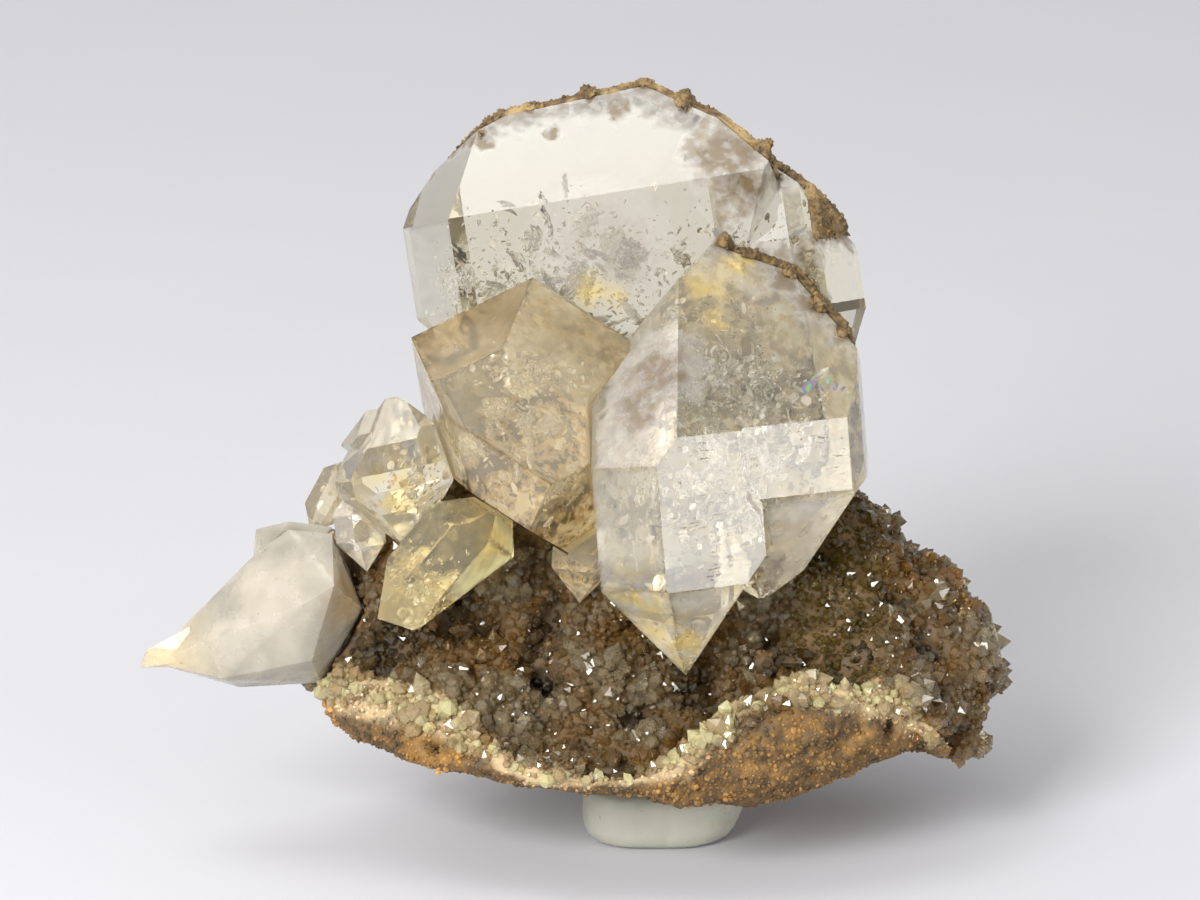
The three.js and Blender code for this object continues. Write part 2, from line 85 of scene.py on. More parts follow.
CRYSTALS = (
    Crystal("front_crystal", "quartz_front", "clear", (-11.5, -4.5), 0.05, 0.035, (
        Cracks((17.5, -10.0, 51.5), (4.6, 2.0, 3.0), 520, 0.15, 0.8),
        Cracks((15.0, -5.0, 56.0), (4.5, 2.0, 2.6), 160, 0.2, 0.9),
        Cracks((24.7, -9.6, 49.4), (1.5, 0.4, 1.0), 16, 0.45, 1.25, 1.0),
        Cracks((13.0, -15.0, 38.5), (6.0, 3.0, 6.5), 150, 0.2, 0.8),
        Cracks((14.0, -16.0, 39.0), (5.0, 2.0, 5.0), 20, 1.5, 2.4),
        Cracks((18.0, -10.5, 46.5), (7.0, 4.0, 4.0), 260, 0.3, 1.1),
        Cracks((16.0, -10.0, 49.0), (6.0, 3.0, 5.0), 44, 1.6, 2.8),
        Cracks((15.0, -17.8, 40.0), (6.0, 0.8, 5.0), 220, 0.15, 0.6),
        Cracks((10.3, -19.6, 25.6), (2.2, 0.6, 1.6), 60, 0.15, 0.35),
    )),
    Crystal("middle_crystal", "quartz_middle", "smoky", (-2.0, -17.5), 0.04, 0.04, (
        Cracks((-4.0, -8.5, 50.0), (5.0, 2.0, 1.8), 260, 0.2, 0.9),
        Cracks((-4.0, -10.0, 42.0), (6.0, 4.0, 5.0), 160, 0.2, 1.0),
        Cracks((-5.0, -11.0, 46.0), (5.0, 3.0, 4.0), 24, 1.6, 3.2),
    )),
    Crystal("back_crystal", "quartz_back", "clear", (-13.0, -9.0), 0.012, 0.03, (
        Cracks((-3.0, 7.4, 57.0), (13.0, 2.4, 5.0), 1200, 0.15, 0.6),
        Cracks((17.0, 11.0, 61.0), (6.0, 4.0, 5.0), 120, 0.2, 0.8),
        Cracks((0.0, 8.0, 57.0), (12.0, 2.6, 5.0), 64, 1.6, 2.8),
    )),
    Crystal("yellow_crystal", "quartz_yellow", "yellow", (-15.0, 40.0), 0.05, 0.10, (
        Cracks((-14.0, -17.0, 32.0), (3.4, 2.4, 2.0), 60, 0.15, 0.5),
        Cracks((-15.8, -19.0, 30.4), (2.2, 1.6, 1.8), 90, 0.15, 0.5),
    )),
    Crystal("upper_left_crystal", "quartz_upper_left", "clear", (-15.0, -12.0), 0.03, 0.15, (
        Cracks((-18.0, -9.5, 40.0), (2.6, 1.8, 3.0), 90, 0.15, 0.6),
    )),
    Crystal("dark_small_crystal", "quartz_dark_small", "smoky", (-26.0, 27.5), 0.02, 0.20, (
        Cracks((-25.4, -7.2, 37.0), (1.0, 1.0, 1.4), 8, 0.2, 0.5),
    )),
    Crystal("low_small_crystal", "quartz_low_small", "clear", (-10.0, -6.0), 0.02, 0.26, (
        Cracks((-22.2, -11.0, 34.0), (1.2, 1.2, 1.6), 10, 0.2, 0.6),
    )),
    Crystal("under_crystal", "quartz_under", "smoky", (-15.0, 4.0), 0.03, 0.16, (
        Cracks((0.7, -11.2, 31.0), (1.4, 1.2, 1.8), 12, 0.2, 0.7),
    )),
)
SLOT_OF_QUARTZ = {"clear": "clear_quartz", "smoky": "smoky_quartz", "yellow": "yellow_quartz"}

# The front crystal's bright prism face, by its normal, has the closest growth steps. A face counts as the one
# given by a normal when its own normal agrees with it to this share.
STEPPED_FACE = Vector((0.40, -0.89, 0.21)).normalized()
SAME_FACE = 0.985

# Growth steps: how far one rises along the crystal, the same on the stepped face, how far they wander, which
# share of a step is its tread, how high they may stand out, and how near an edge they fade out.
STEP_RISE = 1.7
FINE_STEP_RISE = 0.9
STEP_WANDER = 1.6
TREAD = 0.65
HIGHEST_STEP = 0.02
EDGE_REST = 0.7

# Pyramid faces swell by this share of the steps' height, all but the front crystal's flat one, which is given
# by its normal.
SWELL_SHARE = 0.35
FLAT_FACE = Vector((-0.51, -0.50, 0.69)).normalized()

# A crack's shape, as shares of its radius: how narrow it is, how far it bends, how ragged its rim is and how
# far the rim strays. Half its thickness between its middle and its rim is a share of its gap.
CRACK_NARROW = (0.4, 1.0)
CRACK_BEND = 0.22
CRACK_RIM = (0.62, 1.0)
CRACK_STRAY = 0.05
CRACK_THICKNESS = 0.42

# Cracks gather in their patch by this share of its spread, and lean from its direction by about this much.
CRACK_GATHER = 0.7
CRACK_LEAN = 0.75

# Cracks are frosted and whitened to these shares.
CRACK_FROST = (0.0, 0.0, 0.0, 0.3, 0.6)
CRACK_WHITE = (0.1, 0.15, 0.25, 0.4, 0.75)

# Cracks of at least this radius are crinkled sheets, and smaller ones are flakes: the sides and rings of each
# and how far its points stray. All keep this far from the crystal's faces.
SHEET_RADIUS = 1.5
FLAKE = (7, 1, 0.0)
SHEET = (26, 9, 0.07)
CRACK_ROOM = 0.12

# Iron-stained spots: the middle and radius of each.
CLEAR_STAINS = (
    ((13.2, -4.2, 58.5), 5.0), ((16.8, -0.7, 59.8), 3.5), ((14.6, -6.8, 56.0), 3.5),
    ((10.0, -20.5, 25.5), 7.0), ((6.5, -21.5, 31.0), 6.0), ((1.5, 3.7, 56.2), 3.0),
    ((3.8, 3.5, 55.4), 2.5), ((-18.0, -13.0, 39.0), 9.0),
)
YELLOW_STAINS = (((-7.5, -19.0, 36.0), 7.0), ((-9.5, -16.0, 39.0), 5.0))

# These crystals' faces towards the rock behind them are rough, and the rock shows through them from the lower
# of two heights to the upper.
ROUGH_BACKS = ("front_crystal", "middle_crystal")
REARWARD = Vector((0.0, 0.85, -0.5)).normalized()
ROUGH_HEIGHTS = (28.0, 34.0)

# How far from the rock, from another crystal and from a rind a crystal's skin is changed: wholly, and at
# most.
SEAT_REACH = (0.4, 1.8)
TOUCH_REACH = (0.45, 0.9)
RIND_REACH = (0.2, 2.2)

# The rinds, and the spots of brown film away from them: the middle, radius and strength of each. One spot
# near them stays clear.
RINDS = ("back_rind", "front_rind")
FILM_SPOTS = (
    ((16.0, 8.2, 70.0), 7.0, 1.0), ((17.5, 6.0, 67.5), 5.0, 1.0), ((14.0, 8.5, 70.5), 5.0, 0.9),
    ((4.6, 14.6, 73.6), 3.2, 1.0), ((-2.2, 12.9, 71.1), 1.4, 1.0), ((-9.6, 13.2, 70.1), 2.4, 1.0),
    ((3.0, 4.2, 60.5), 10.0, 0.55), ((8.2, -12.5, 51.5), 7.0, 0.95), ((6.5, -15.0, 48.8), 6.0, 0.95),
    ((22.0, -13.5, 33.0), 7.5, 0.25),
)
CLEAR_SPOT = ((23.2, 6.5, 65.5), 4.0)

# The brown line where the front crystal's two individuals meet, from its upper end, how far it reaches to
# each side, and how strong it is. Distances from it leave out the depth, and it lies on faces whose normal's
# Y is below the limit.
SUTURE = (
    (16.8, -18.0, 46.4), (17.1, -18.6, 43.1), (17.6, -19.1, 40.1),
    (18.9, -19.0, 38.4), (19.3, -18.4, 35.7),
)
SUTURE_WIDTH = 0.32
SUTURE_STRENGTH = 2
WITHOUT_DEPTH = np.array((1.0, 0.0, 1.0))
SUTURE_FACING = -0.3

# A hazy part of a crystal: its node, the face by its normal, the middle and radius of the patch, and how hazy
# it is. It lies on faces whose normal agrees with the given one to the veils' share.
Veil = namedtuple("Veil", "node normal middle radius share")
VEILS = (
    Veil("front_crystal", (-0.59, -0.80, 0.11), (5.5, -21.0, 38.0), 14.0, 0.20),
    Veil("front_crystal", (0.36, -0.82, -0.44), (22.0, -13.5, 33.0), 9.0, 0.55),
    Veil("front_crystal", (0.36, -0.82, -0.44), (12.0, -21.0, 28.0), 7.0, 0.38),
    Veil("front_crystal", (-0.42, -0.75, -0.51), (7.0, -20.0, 28.0), 8.0, 0.38),
    Veil("front_crystal", (-0.51, -0.50, 0.69), (6.5, -19.5, 45.0), 6.0, 0.15),
    Veil("middle_crystal", (0.33, -0.54, 0.77), (-5.6, -16.0, 47.0), 16.0, 0.23),
    Veil("middle_crystal", (-0.27, -0.96, -0.05), (-6.0, -20.0, 40.0), 20.0, 0.18),
    Veil("back_crystal", (-0.87, -0.49, -0.03), (-16.0, 10.9, 56.9), 12.0, 0.16),
    # The yellow crystal's right faces are hazy and painted pale yellow as light on that side.
    Veil("yellow_crystal", (0.95, -0.31, 0.09), (-7.9, -18.9, 35.8), 8.0, 1.0),
    Veil("yellow_crystal", (0.70, -0.54, -0.46), (-8.1, -19.5, 35.5), 8.0, 1.0),
)
VEIL_SHARE = 0.97

# The pale lip between the druse and the bare rock, from left to right: its place and half its width.
LIP = np.array((
    (-25.0, -14.5, 18.5, 3.4), (-22.0, -16.4, 18.6, 3.6), (-17.9, -17.8, 18.6, 3.4),
    (-13.9, -20.0, 18.0, 3.0), (-9.6, -22.7, 15.3, 2.4), (-5.5, -26.2, 13.6, 2.2),
    (-1.5, -27.0, 12.7, 2.0), (2.5, -27.4, 12.9, 2.0), (6.5, -27.0, 13.9, 2.6),
    (10.5, -27.2, 15.5, 2.6), (14.6, -25.3, 18.0, 3.0), (17.2, -22.0, 19.2, 3.2),
    (20.3, -20.5, 20.5, 3.4), (25.8, -22.4, 20.9, 3.2), (29.9, -21.4, 20.0, 2.8),
    (33.6, -19.2, 17.7, 2.2), (38.5, -15.3, 12.3, 1.4),
))

# Hollows in the rock, sunk in and painted dark as shade: the middle and radius of each.
PITS = (
    ((-14.9, -22.3, 15.1), 1.5), ((-3.2, -15.8, 20.0), 2.8), ((6.3, -17.9, 16.7), 2.6),
    ((14.5, -23.4, 17.4), 1.8), ((27.5, -19.0, 21.8), 2.2), ((32.2, -20.0, 16.0), 1.2),
)

# Where the rock changes along X, Y or Z, each from one place to another: the druse-covered right end, how low
# its druse goes, how far back the druse goes, the broken bare rock, and the end of the pale lip.
RIGHT_END = (33.0, 36.0)
RIGHT_END_FOOT = (9.0, 11.0)
DRUSE_BACK = (6.0, 14.0)
BROKEN_START = (7.0, 10.0)
LIP_END = (36.0, 39.0)

# Rust stains on the rock, as X and Z of the low and the high one, and how far each is whole and reaches. The
# broken rock grows rustier to the right of one place.
RUST_LOW = (-14.5, 14.5)
RUST_HIGH = (-20.0, 34.0)
RUST_REACH = (2.0, 5.0)
BROKEN_RUST = 18.0

# The greenish fine druse: X and Z of its middle, and half its width and height.
GREEN_MIDDLE = (27.0, 27.0)
GREEN_SIZE = (6.5, 11.0)

# Places with a colour of their own, with the radius of each: the front rind, the calcite's tip and its joint
# with the rock, and the smear on the putty.
FRONT_RIND_PLACE = ((22.0, -1.0, 58.0), 20.0)
CALCITE_TIP = ((-44.0, -12.0, 20.0), 11.0)
CALCITE_JOINT = ((-23.1, -14.3, 28.1), 5.0)
PUTTY_SMEAR = ((15.0, -9.0, 4.0), 4.0)

# The size of the triangles on the calcite's skin.
CALCITE_FACET = 0.5

# The crease in the putty's front: its X at the foot, how far it leans for each millimetre up, half its width
# and its depth.
CREASE_X = 9.3
CREASE_LEAN = 0.15
CREASE_WIDTH = 0.5
CREASE_DEPTH = 0.35

# A square light: its name, its middle and side in millimetres, and its turn about its own axis in degrees.
Light = namedtuple("Light", "name place side turn", defaults=(0.0,))
KEY_LIGHT = Light("key_light", (-190, -50, 648), 290)
FRONT_LIGHT = Light("front_light", (-560, -985, 600), 530)
SIDE_LIGHT = Light("side_light", (505, -445, 116), 230)
LEFT_LIGHT = Light("left_light", (-450, 108, 510), 160, 29.3)
REAR_LIGHT = Light("rear_light", (-406, 252, 492), 120)
WHITE = (1.0, 1.0, 1.0)

# The sky changes towards its far side and towards the top, between these heights along each direction.
SKY_FAR_SIDE = Vector((0.45, 0.89, 0.0)).normalized()
SKY_FAR_RANGE = (-0.9, 0.6)
SKY_TOP_RANGE = (0.15, 0.95)

# The floor is painted lighter far behind the object, as a pool of light: the middle and radius of the
# painted patch, and how much lighter it is.
FLOOR_PAINTED_LIGHT = ((0.0, 900.0, 0.0), 800.0)
FLOOR_PAINTED_LIGHT_GAIN = 1.25

# Refractive indices.
QUARTZ_INDEX = 1.544
CALCITE_INDEX = 1.6


class QuartzLook(bpy.types.PropertyGroup):
    """Sizes and colours of the crystals"""

    ior: FloatProperty(name="Refractive Index", description="Refraction of quartz", default=QUARTZ_INDEX)
    clear_skin: FloatVectorProperty(
        name="Clear Skin", description="Colour of clear quartz's surface", subtype="COLOR",
        default=(0.98, 0.965, 0.915))
    smoky_skin: FloatVectorProperty(
        name="Smoky Skin", description="Colour of smoky quartz's surface", subtype="COLOR",
        default=(0.93, 0.85, 0.66))
    yellow_skin: FloatVectorProperty(
        name="Yellow Skin", description="Colour of yellow quartz's surface", subtype="COLOR",
        default=(0.97, 0.92, 0.72))
    clear_tint: FloatVectorProperty(
        name="Clear Tint", description="Colour that clear quartz lets through", subtype="COLOR",
        default=(0.94, 0.90, 0.75))
    clear_density: FloatProperty(
        name="Clear Density", description="Absorption of clear quartz for each metre", default=50.0)
    smoky_tint: FloatVectorProperty(
        name="Smoky Tint", description="Colour that smoky quartz lets through", subtype="COLOR",
        default=(0.87, 0.77, 0.50))
    smoky_density: FloatProperty(
        name="Smoky Density", description="Absorption of smoky quartz for each metre", default=26.0)
    yellow_tint: FloatVectorProperty(
        name="Yellow Tint", description="Colour that iron-stained quartz lets through", subtype="COLOR",
        default=(0.985, 0.79, 0.18))
    yellow_density: FloatProperty(
        name="Yellow Density", description="Absorption of yellow quartz for each metre", default=34.0)
    stain: FloatVectorProperty(
        name="Iron Stain", description="Colour of the stained patches", subtype="COLOR",
        default=(0.98, 0.76, 0.28))
    film: FloatVectorProperty(
        name="Film", description="Colour of the brown film by the rinds", subtype="COLOR",
        default=(0.115, 0.075, 0.032))
    veil: FloatVectorProperty(
        name="Veil", description="Colour of the hazy faces", subtype="COLOR", default=(0.66, 0.60, 0.49))
    # Part haze, part painted light: the yellow crystal's right faces are given this pale colour to look lit.
    yellow_veil_and_painted_light: FloatVectorProperty(
        name="Yellow Veil", description="Colour of the yellow crystal's hazy faces", subtype="COLOR",
        default=(1.0, 0.95, 0.50))
    crack: FloatVectorProperty(
        name="Crack", description="Colour of the whitened cracks", subtype="COLOR",
        default=(1.0, 0.94, 0.80))
    seat: FloatVectorProperty(
        name="Seat", description="Colour that shows through where a crystal sits on the rock",
        subtype="COLOR", default=(0.74, 0.58, 0.33))
    facet: FloatProperty(
        name="Surface Triangle", description="Size of the triangles that hold the growth steps",
        subtype="DISTANCE", default=0.45 * MM)
    fine_facet: FloatProperty(
        name="Fine Triangle", description="Size of the triangles on the stepped face",
        subtype="DISTANCE", default=0.20 * MM)
    stepped_height: FloatProperty(
        name="Stepped Face Height", description="Height of the steps on the bright prism face",
        subtype="DISTANCE", default=0.045 * MM)
    crack_gap: FloatProperty(
        name="Crack Gap", description="Width of a crack at its middle", subtype="DISTANCE",
        default=0.07 * MM)
    seed: IntProperty(name="Seed", description="Seed of the cracks", default=7)


class RockLook(bpy.types.PropertyGroup):
    """Sizes and colours of the rock and its druse"""

    cell: FloatProperty(
        name="Surface Cell", description="Size of the cells of the rock's surface", subtype="DISTANCE",
        default=0.55 * MM)
    relief: FloatProperty(
        name="Relief", description="Height of the rock's lumps", subtype="DISTANCE", default=0.45 * MM)
    brown: FloatVectorProperty(
        name="Brown", description="Colour of the rock", subtype="COLOR", default=(0.37, 0.195, 0.05))
    bed: FloatVectorProperty(
        name="Bed", description="Colour of the rock below the druse", subtype="COLOR",
        default=(0.21, 0.12, 0.035))
    # The dark colour is painted shade in the hollows of the rock and its druse and where the bump is low, and
    # it also darkens the whole rock and, at random, its grains.
    dark: FloatVectorProperty(
        name="Dark", description="Colour of the rock's hollows", subtype="COLOR",
        default=(0.05, 0.031, 0.012))
    rust: FloatVectorProperty(
        name="Rust", description="Colour of the iron stains", subtype="COLOR", default=(0.56, 0.28, 0.05))
    pale: FloatVectorProperty(
        name="Pale", description="Colour of the pale lip", subtype="COLOR", default=(1.0, 0.75, 0.42))
    druse_clear: FloatVectorProperty(
        name="Druse Clear", description="Colour of the clearest druse points", subtype="COLOR",
        default=(0.97, 0.87, 0.60))
    druse_brown: FloatVectorProperty(
        name="Druse Brown", description="Colour of the brownest druse points", subtype="COLOR",
        default=(0.50, 0.29, 0.085))
    druse_warm: FloatVectorProperty(
        name="Druse Warm", description="Colour of the iron-stained druse points", subtype="COLOR",
        default=(0.70, 0.38, 0.07))
    druse_green: FloatVectorProperty(
        name="Druse Green", description="Colour of the greenish fine druse", subtype="COLOR",
        default=(0.40, 0.30, 0.07))
    spacing: FloatProperty(
        name="Druse Spacing", description="Least distance between druse points", subtype="DISTANCE",
        default=0.42 * MM)
    small_point: FloatProperty(
        name="Smallest Point", description="Width of the smallest druse point", subtype="DISTANCE",
        default=0.42 * MM)
    large_point: FloatProperty(
        name="Largest Point", description="Width of the largest druse point", subtype="DISTANCE",
        default=1.6 * MM)
    lean: FloatProperty(
        name="Lean", description="How far a druse point leans", subtype="ANGLE", default=math.radians(40))
    grain_spacing: FloatProperty(
        name="Grain Spacing", description="Least distance between grains of bare rock", subtype="DISTANCE",
        default=0.38 * MM)
    small_grain: FloatProperty(
        name="Smallest Grain", description="Width of the smallest grain of rock", subtype="DISTANCE",
        default=0.28 * MM)
    large_grain: FloatProperty(
        name="Largest Grain", description="Width of the largest grain of rock", subtype="DISTANCE",
        default=0.75 * MM)
    seed: IntProperty(name="Seed", description="Seed of the druse", default=11)


class CoverLook(bpy.types.PropertyGroup):
    """Sizes and colours of the rinds, the calcite and the putty"""

    rind_cell: FloatProperty(
        name="Rind Cell", description="Size of the cells of the rind's surface", subtype="DISTANCE",
        default=0.36 * MM)
    rind_relief: FloatProperty(
        name="Rind Relief", description="Height of the rind's lumps", subtype="DISTANCE", default=0.18 * MM)
    rind_brown: FloatVectorProperty(
        name="Rind Brown", description="Colour of the rind", subtype="COLOR", default=(0.19, 0.115, 0.042))
    rind_tan: FloatVectorProperty(
        name="Rind Tan", description="Pale colour of the rind", subtype="COLOR", default=(0.36, 0.25, 0.11))
    rind_rust: FloatVectorProperty(
        name="Rind Rust", description="Colour of the rind's rusty patches", subtype="COLOR",
        default=(0.45, 0.22, 0.04))
    rind_gold: FloatVectorProperty(
        name="Rind Gold", description="Pale colour of the front rind", subtype="COLOR",
        default=(0.23, 0.14, 0.04))
    crumb_spacing: FloatProperty(
        name="Crumb Spacing", description="Least distance between crumbs on the rind", subtype="DISTANCE",
        default=0.36 * MM)
    small_crumb: FloatProperty(
        name="Smallest Crumb", description="Width of the smallest crumb", subtype="DISTANCE",
        default=0.2 * MM)
    large_crumb: FloatProperty(
        name="Largest Crumb", description="Width of the largest crumb", subtype="DISTANCE",
        default=0.65 * MM)
    crumb_seed: IntProperty(name="Seed", description="Seed of the crumbs", default=3)
    calcite: FloatVectorProperty(
        name="Calcite", description="Colour of the calcite", subtype="COLOR", default=(0.54, 0.495, 0.405))
    calcite_tip: FloatVectorProperty(
        name="Calcite Tip", description="Colour of the calcite's tip", subtype="COLOR",
        default=(0.80, 0.66, 0.40))
    calcite_joint: FloatVectorProperty(
        name="Calcite Joint", description="Colour of the calcite's stained joint with the rock",
        subtype="COLOR", default=(0.62, 0.40, 0.13))
    calcite_speck: FloatVectorProperty(
        name="Calcite Speck", description="Colour of the specks on the calcite", subtype="COLOR",
        default=(0.20, 0.16, 0.11))
    putty: FloatVectorProperty(
        name="Putty", description="Colour of the putty", subtype="COLOR", default=(0.40, 0.40, 0.335))
    putty_speck: FloatVectorProperty(
        name="Putty Speck", description="Colour of the specks on the putty", subtype="COLOR",
        default=(0.10, 0.09, 0.07))
    putty_smear: FloatVectorProperty(
        name="Putty Smear", description="Colour of the smear on the putty", subtype="COLOR",
        default=(0.33, 0.27, 0.16))
    putty_cell: FloatProperty(
        name="Putty Cell", description="Size of the cells of the putty's surface", subtype="DISTANCE",
        default=0.5 * MM)


class StageLook(bpy.types.PropertyGroup):
    """Light and floor of the studio"""

    floor: FloatVectorProperty(
        name="Floor", description="Colour of the floor", subtype="COLOR", default=(0.60, 0.60, 0.625))
    floor_size: FloatProperty(
        name="Floor Size", description="Side of the floor", subtype="DISTANCE", default=6.0)
    key_power: FloatProperty(
        name="Key Power", description="Power of the overhead light in watts", default=0.92)
    side_power: FloatProperty(
        name="Side Power", description="Power of the right light in watts", default=1.3)
    front_power: FloatProperty(
        name="Front Power", description="Power of the broad front light in watts", default=22.0)
    left_power: FloatProperty(
        name="Left Power", description="Power of the left light in watts", default=0.30)
    rear_power: FloatProperty(
        name="Rear Power", description="Power of the rear light in watts", default=0.03)
    left_colour: FloatVectorProperty(
        name="Left Colour", description="Colour of the left and rear lights", subtype="COLOR",
        default=(1.0, 0.93, 0.90))
    sky_top: FloatVectorProperty(
        name="Top Light", description="Light from above", subtype="COLOR", default=(0.62, 0.615, 0.61))
    sky_far: FloatVectorProperty(
        name="Far Light", description="Light from behind the object's right side", subtype="COLOR",
        default=(0.58, 0.58, 0.60))
    sky_near: FloatVectorProperty(
        name="Near Light", description="Light from the camera's left side", subtype="COLOR",
        default=(0.48, 0.47, 0.455))


class Shader:
    """Builds one material's nodes, with a short call for each kind that this file uses."""

    def __init__(self, name):
        self.material = bpy.data.materials.new(name)
        self.material.use_nodes = True
        self.tree = self.material.node_tree
        self.surface = self.tree.nodes["Principled BSDF"]
        self.output = self.tree.nodes["Material Output"]
        self.place = self.add("ShaderNodeTexCoord").outputs["Object"]

    def add(self, kind, **settings):
        node = self.tree.nodes.new(kind)
        for key, value in settings.items():
            setattr(node, key, value)
        return node

    def put(self, socket, value):
        """Links a socket to a socket, or sets it to a plain value."""
        if isinstance(value, bpy.types.NodeSocket):
            self.tree.links.new(value, socket)
        else:
            is_colour = socket.type == "RGBA" and len(value) == 3
            socket.default_value = (*value, 1.0) if is_colour else value

    def principled(self, **values):
        for key, value in values.items():
            name = key.replace("_", " ").title().replace("Ior", "IOR")
            self.put(self.surface.inputs[name], value)

    def noise(self, size, detail=3.0, rough=0.55, warp=0.0):
        """Noise whose lumps are about size millimetres across."""
        node = self.add("ShaderNodeTexNoise")
        self.put(node.inputs["Vector"], self.place)
        node.inputs["Scale"].default_value = 1 / (size * MM)
        node.inputs["Detail"].default_value = detail
        node.inputs["Roughness"].default_value = rough
        node.inputs["Distortion"].default_value = warp
        return node.outputs["Fac"]

    def bands(self, size, warp):
        """Level bands about size millimetres high, bent by noise."""
        node = self.add("ShaderNodeTexWave", bands_direction="Z")
        self.put(node.inputs["Vector"], self.place)
        node.inputs["Scale"].default_value = math.tau / 20 / (size * MM)
        node.inputs["Distortion"].default_value = warp
        node.inputs["Detail"].default_value = 2.0
        node.inputs["Detail Scale"].default_value = 0.4
        return node.outputs["Fac"]

    def attribute(self, name):
        return self.add("ShaderNodeAttribute", attribute_name=name).outputs["Fac"]

    def spread(self, value, low, high, to_low=0.0, to_high=1.0):
        """Maps low to high onto another range, smoothly and clamped."""
        node = self.add("ShaderNodeMapRange", interpolation_type="SMOOTHSTEP")
        self.put(node.inputs["Value"], value)
        for key, number in zip(("From Min", "From Max", "To Min", "To Max"), (low, high, to_low, to_high)):
            node.inputs[key].default_value = number
        return node.outputs["Result"]

    def near(self, centre, radius):
        """1 at a point given in millimetres, falling to 0 at the radius."""
        node = self.add("ShaderNodeVectorMath", operation="DISTANCE")
        self.put(node.inputs[0], self.place)
        node.inputs[1].default_value = [c * MM for c in centre]
        return self.spread(node.outputs["Value"], radius * MM, 0.0)

    def math(self, kind, first, second):
        node = self.add("ShaderNodeMath", operation=kind)
        self.put(node.inputs[0], first)
        self.put(node.inputs[1], second)
        return node.outputs[0]

    def mix(self, share, first, second):
        node = self.add("ShaderNodeMix", data_type="RGBA")
        colours = [s for s in node.inputs if s.type == "RGBA"]
        self.put(node.inputs["Factor"], share)
        self.put(colours[0], first)
        self.put(colours[1], second)
        return next(s for s in node.outputs if s.type == "RGBA")

    def bump(self, height, distance, strength=1.0):
        node = self.add("ShaderNodeBump")
        node.inputs["Strength"].default_value = strength
        node.inputs["Distance"].default_value = distance * MM
        self.put(node.inputs["Height"], height)
        return node.outputs["Normal"]


def scaled(colour, factor):
    return tuple(min(1.0, c * factor) for c in colour)


def stain_share(shader, stains):
    """How strongly the iron stains show: blotches in round spots."""
    blotches = shader.spread(shader.noise(2.6, 2.0, 0.6), 0.32, 0.60)
    spots = [shader.near(centre, radius) for centre, radius in stains]
    while len(spots) > 1:
        spots.append(shader.math("MAXIMUM", spots.pop(0), spots.pop(0)))
    return shader.math("MULTIPLY", spots[0], blotches)


def seat_colour(shader, look):
    """What shows through where a crystal sits on the rock: dark, brown and white crackle."""
    crackle = shader.noise(1.4, 2.0, 0.6)
    patches = shader.math("ADD", crackle, shader.spread(shader.noise(5.0, 1.0), 0.3, 0.7, -0.12, 0.12))
    ground = shader.mix(shader.spread(patches, 0.38, 0.48), scaled(look.seat, 0.3), tuple(look.seat))
    return shader.mix(shader.spread(patches, 0.51, 0.60), ground, tuple(look.crack))


def rainbow_colour(shader):
    """The colours of a thin gap, from green through blue to red."""
    rainbow = shader.add("ShaderNodeCombineColor", mode="HSV")
    hue, saturation, value = rainbow.inputs
    shader.put(hue, shader.spread(shader.noise(0.6, 1.0), 0.3, 0.7, 0.3, 0.95))
    saturation.default_value = 0.7
    value.default_value = 0.9
    return rainbow.outputs["Color"]


def quartz_material(name, look, skin, veil_colour, tint, density, stains):
    """See-through quartz: plain refraction and absorption. Its skin has hazy faces, a brown film by the
    rinds, iron stains, the rock's colour where it is seated, and frost where crystals touch. The cracks
    inside it are frosted, white or rainbow-coloured."""
    shader = Shader(name)
    grain = shader.noise(1.3, 2.0, 0.6)
    veil = shader.attribute("veil")
    colour = shader.mix(veil, tuple(skin), tuple(veil_colour))
    tone = shader.spread(grain, 0.3, 0.7)
    film = shader.math("MULTIPLY", shader.attribute("film"), shader.spread(grain, 0.15, 0.60, 0.6, 1.0))
    coat = shader.math("MULTIPLY", film, 0.6)
    film = shader.math("MINIMUM", film, 1.0)
    colour = shader.mix(film, colour, shader.mix(tone, tuple(look.film), scaled(look.film, 1.4)))
    dull = shader.math("MINIMUM", shader.math("MAXIMUM", shader.math("MULTIPLY", veil, 0.8), coat), 1.0)
    if stains:
        stain = stain_share(shader, stains)
        colour = shader.mix(stain, colour, tuple(look.stain))
        dull = shader.math("MAXIMUM", dull, shader.math("MULTIPLY", stain, 0.18))
    seat = shader.attribute("seat")
    colour = shader.mix(seat, colour, seat_colour(shader, look))
    dull = shader.math("MAXIMUM", dull, seat)
    white = shader.attribute("white")
    colour = shader.mix(white, colour, tuple(look.crack))
    dull = shader.math("MAXIMUM", dull, shader.math("MULTIPLY", white, 0.9))
    fire = shader.attribute("fire")
    colour = shader.mix(fire, colour, rainbow_colour(shader))
    dull = shader.math("MAXIMUM", dull, shader.math("MULTIPLY", fire, 0.6))
    frost = shader.math("MAXIMUM", shader.attribute("frost"), seat)
    frost = shader.math("MAXIMUM", frost, shader.math("MULTIPLY", film, 0.35))
    steps = shader.math("ADD", shader.bands(0.7, 9.0), shader.noise(0.45, 1.0))
    hatch = shader.math("MULTIPLY", steps, shader.attribute("stepped"))
    height = shader.math("ADD", shader.math("MULTIPLY", hatch, 0.4), shader.math("MULTIPLY", grain, 0.12))
    shader.principled(
        base_color=colour, roughness=shader.math("MULTIPLY", frost, 0.55), ior=look.ior,
        transmission_weight=shader.math("SUBTRACT", 1.0, shader.math("MULTIPLY", dull, 0.95)),
        normal=shader.bump(height, 0.03, 0.5))
    absorb = shader.add("ShaderNodeVolumeAbsorption")
    absorb.inputs["Color"].default_value = (*tint, 1.0)
    absorb.inputs["Density"].default_value = density
    shader.tree.links.new(absorb.outputs["Volume"], shader.output.inputs["Volume"])
    return shader.material


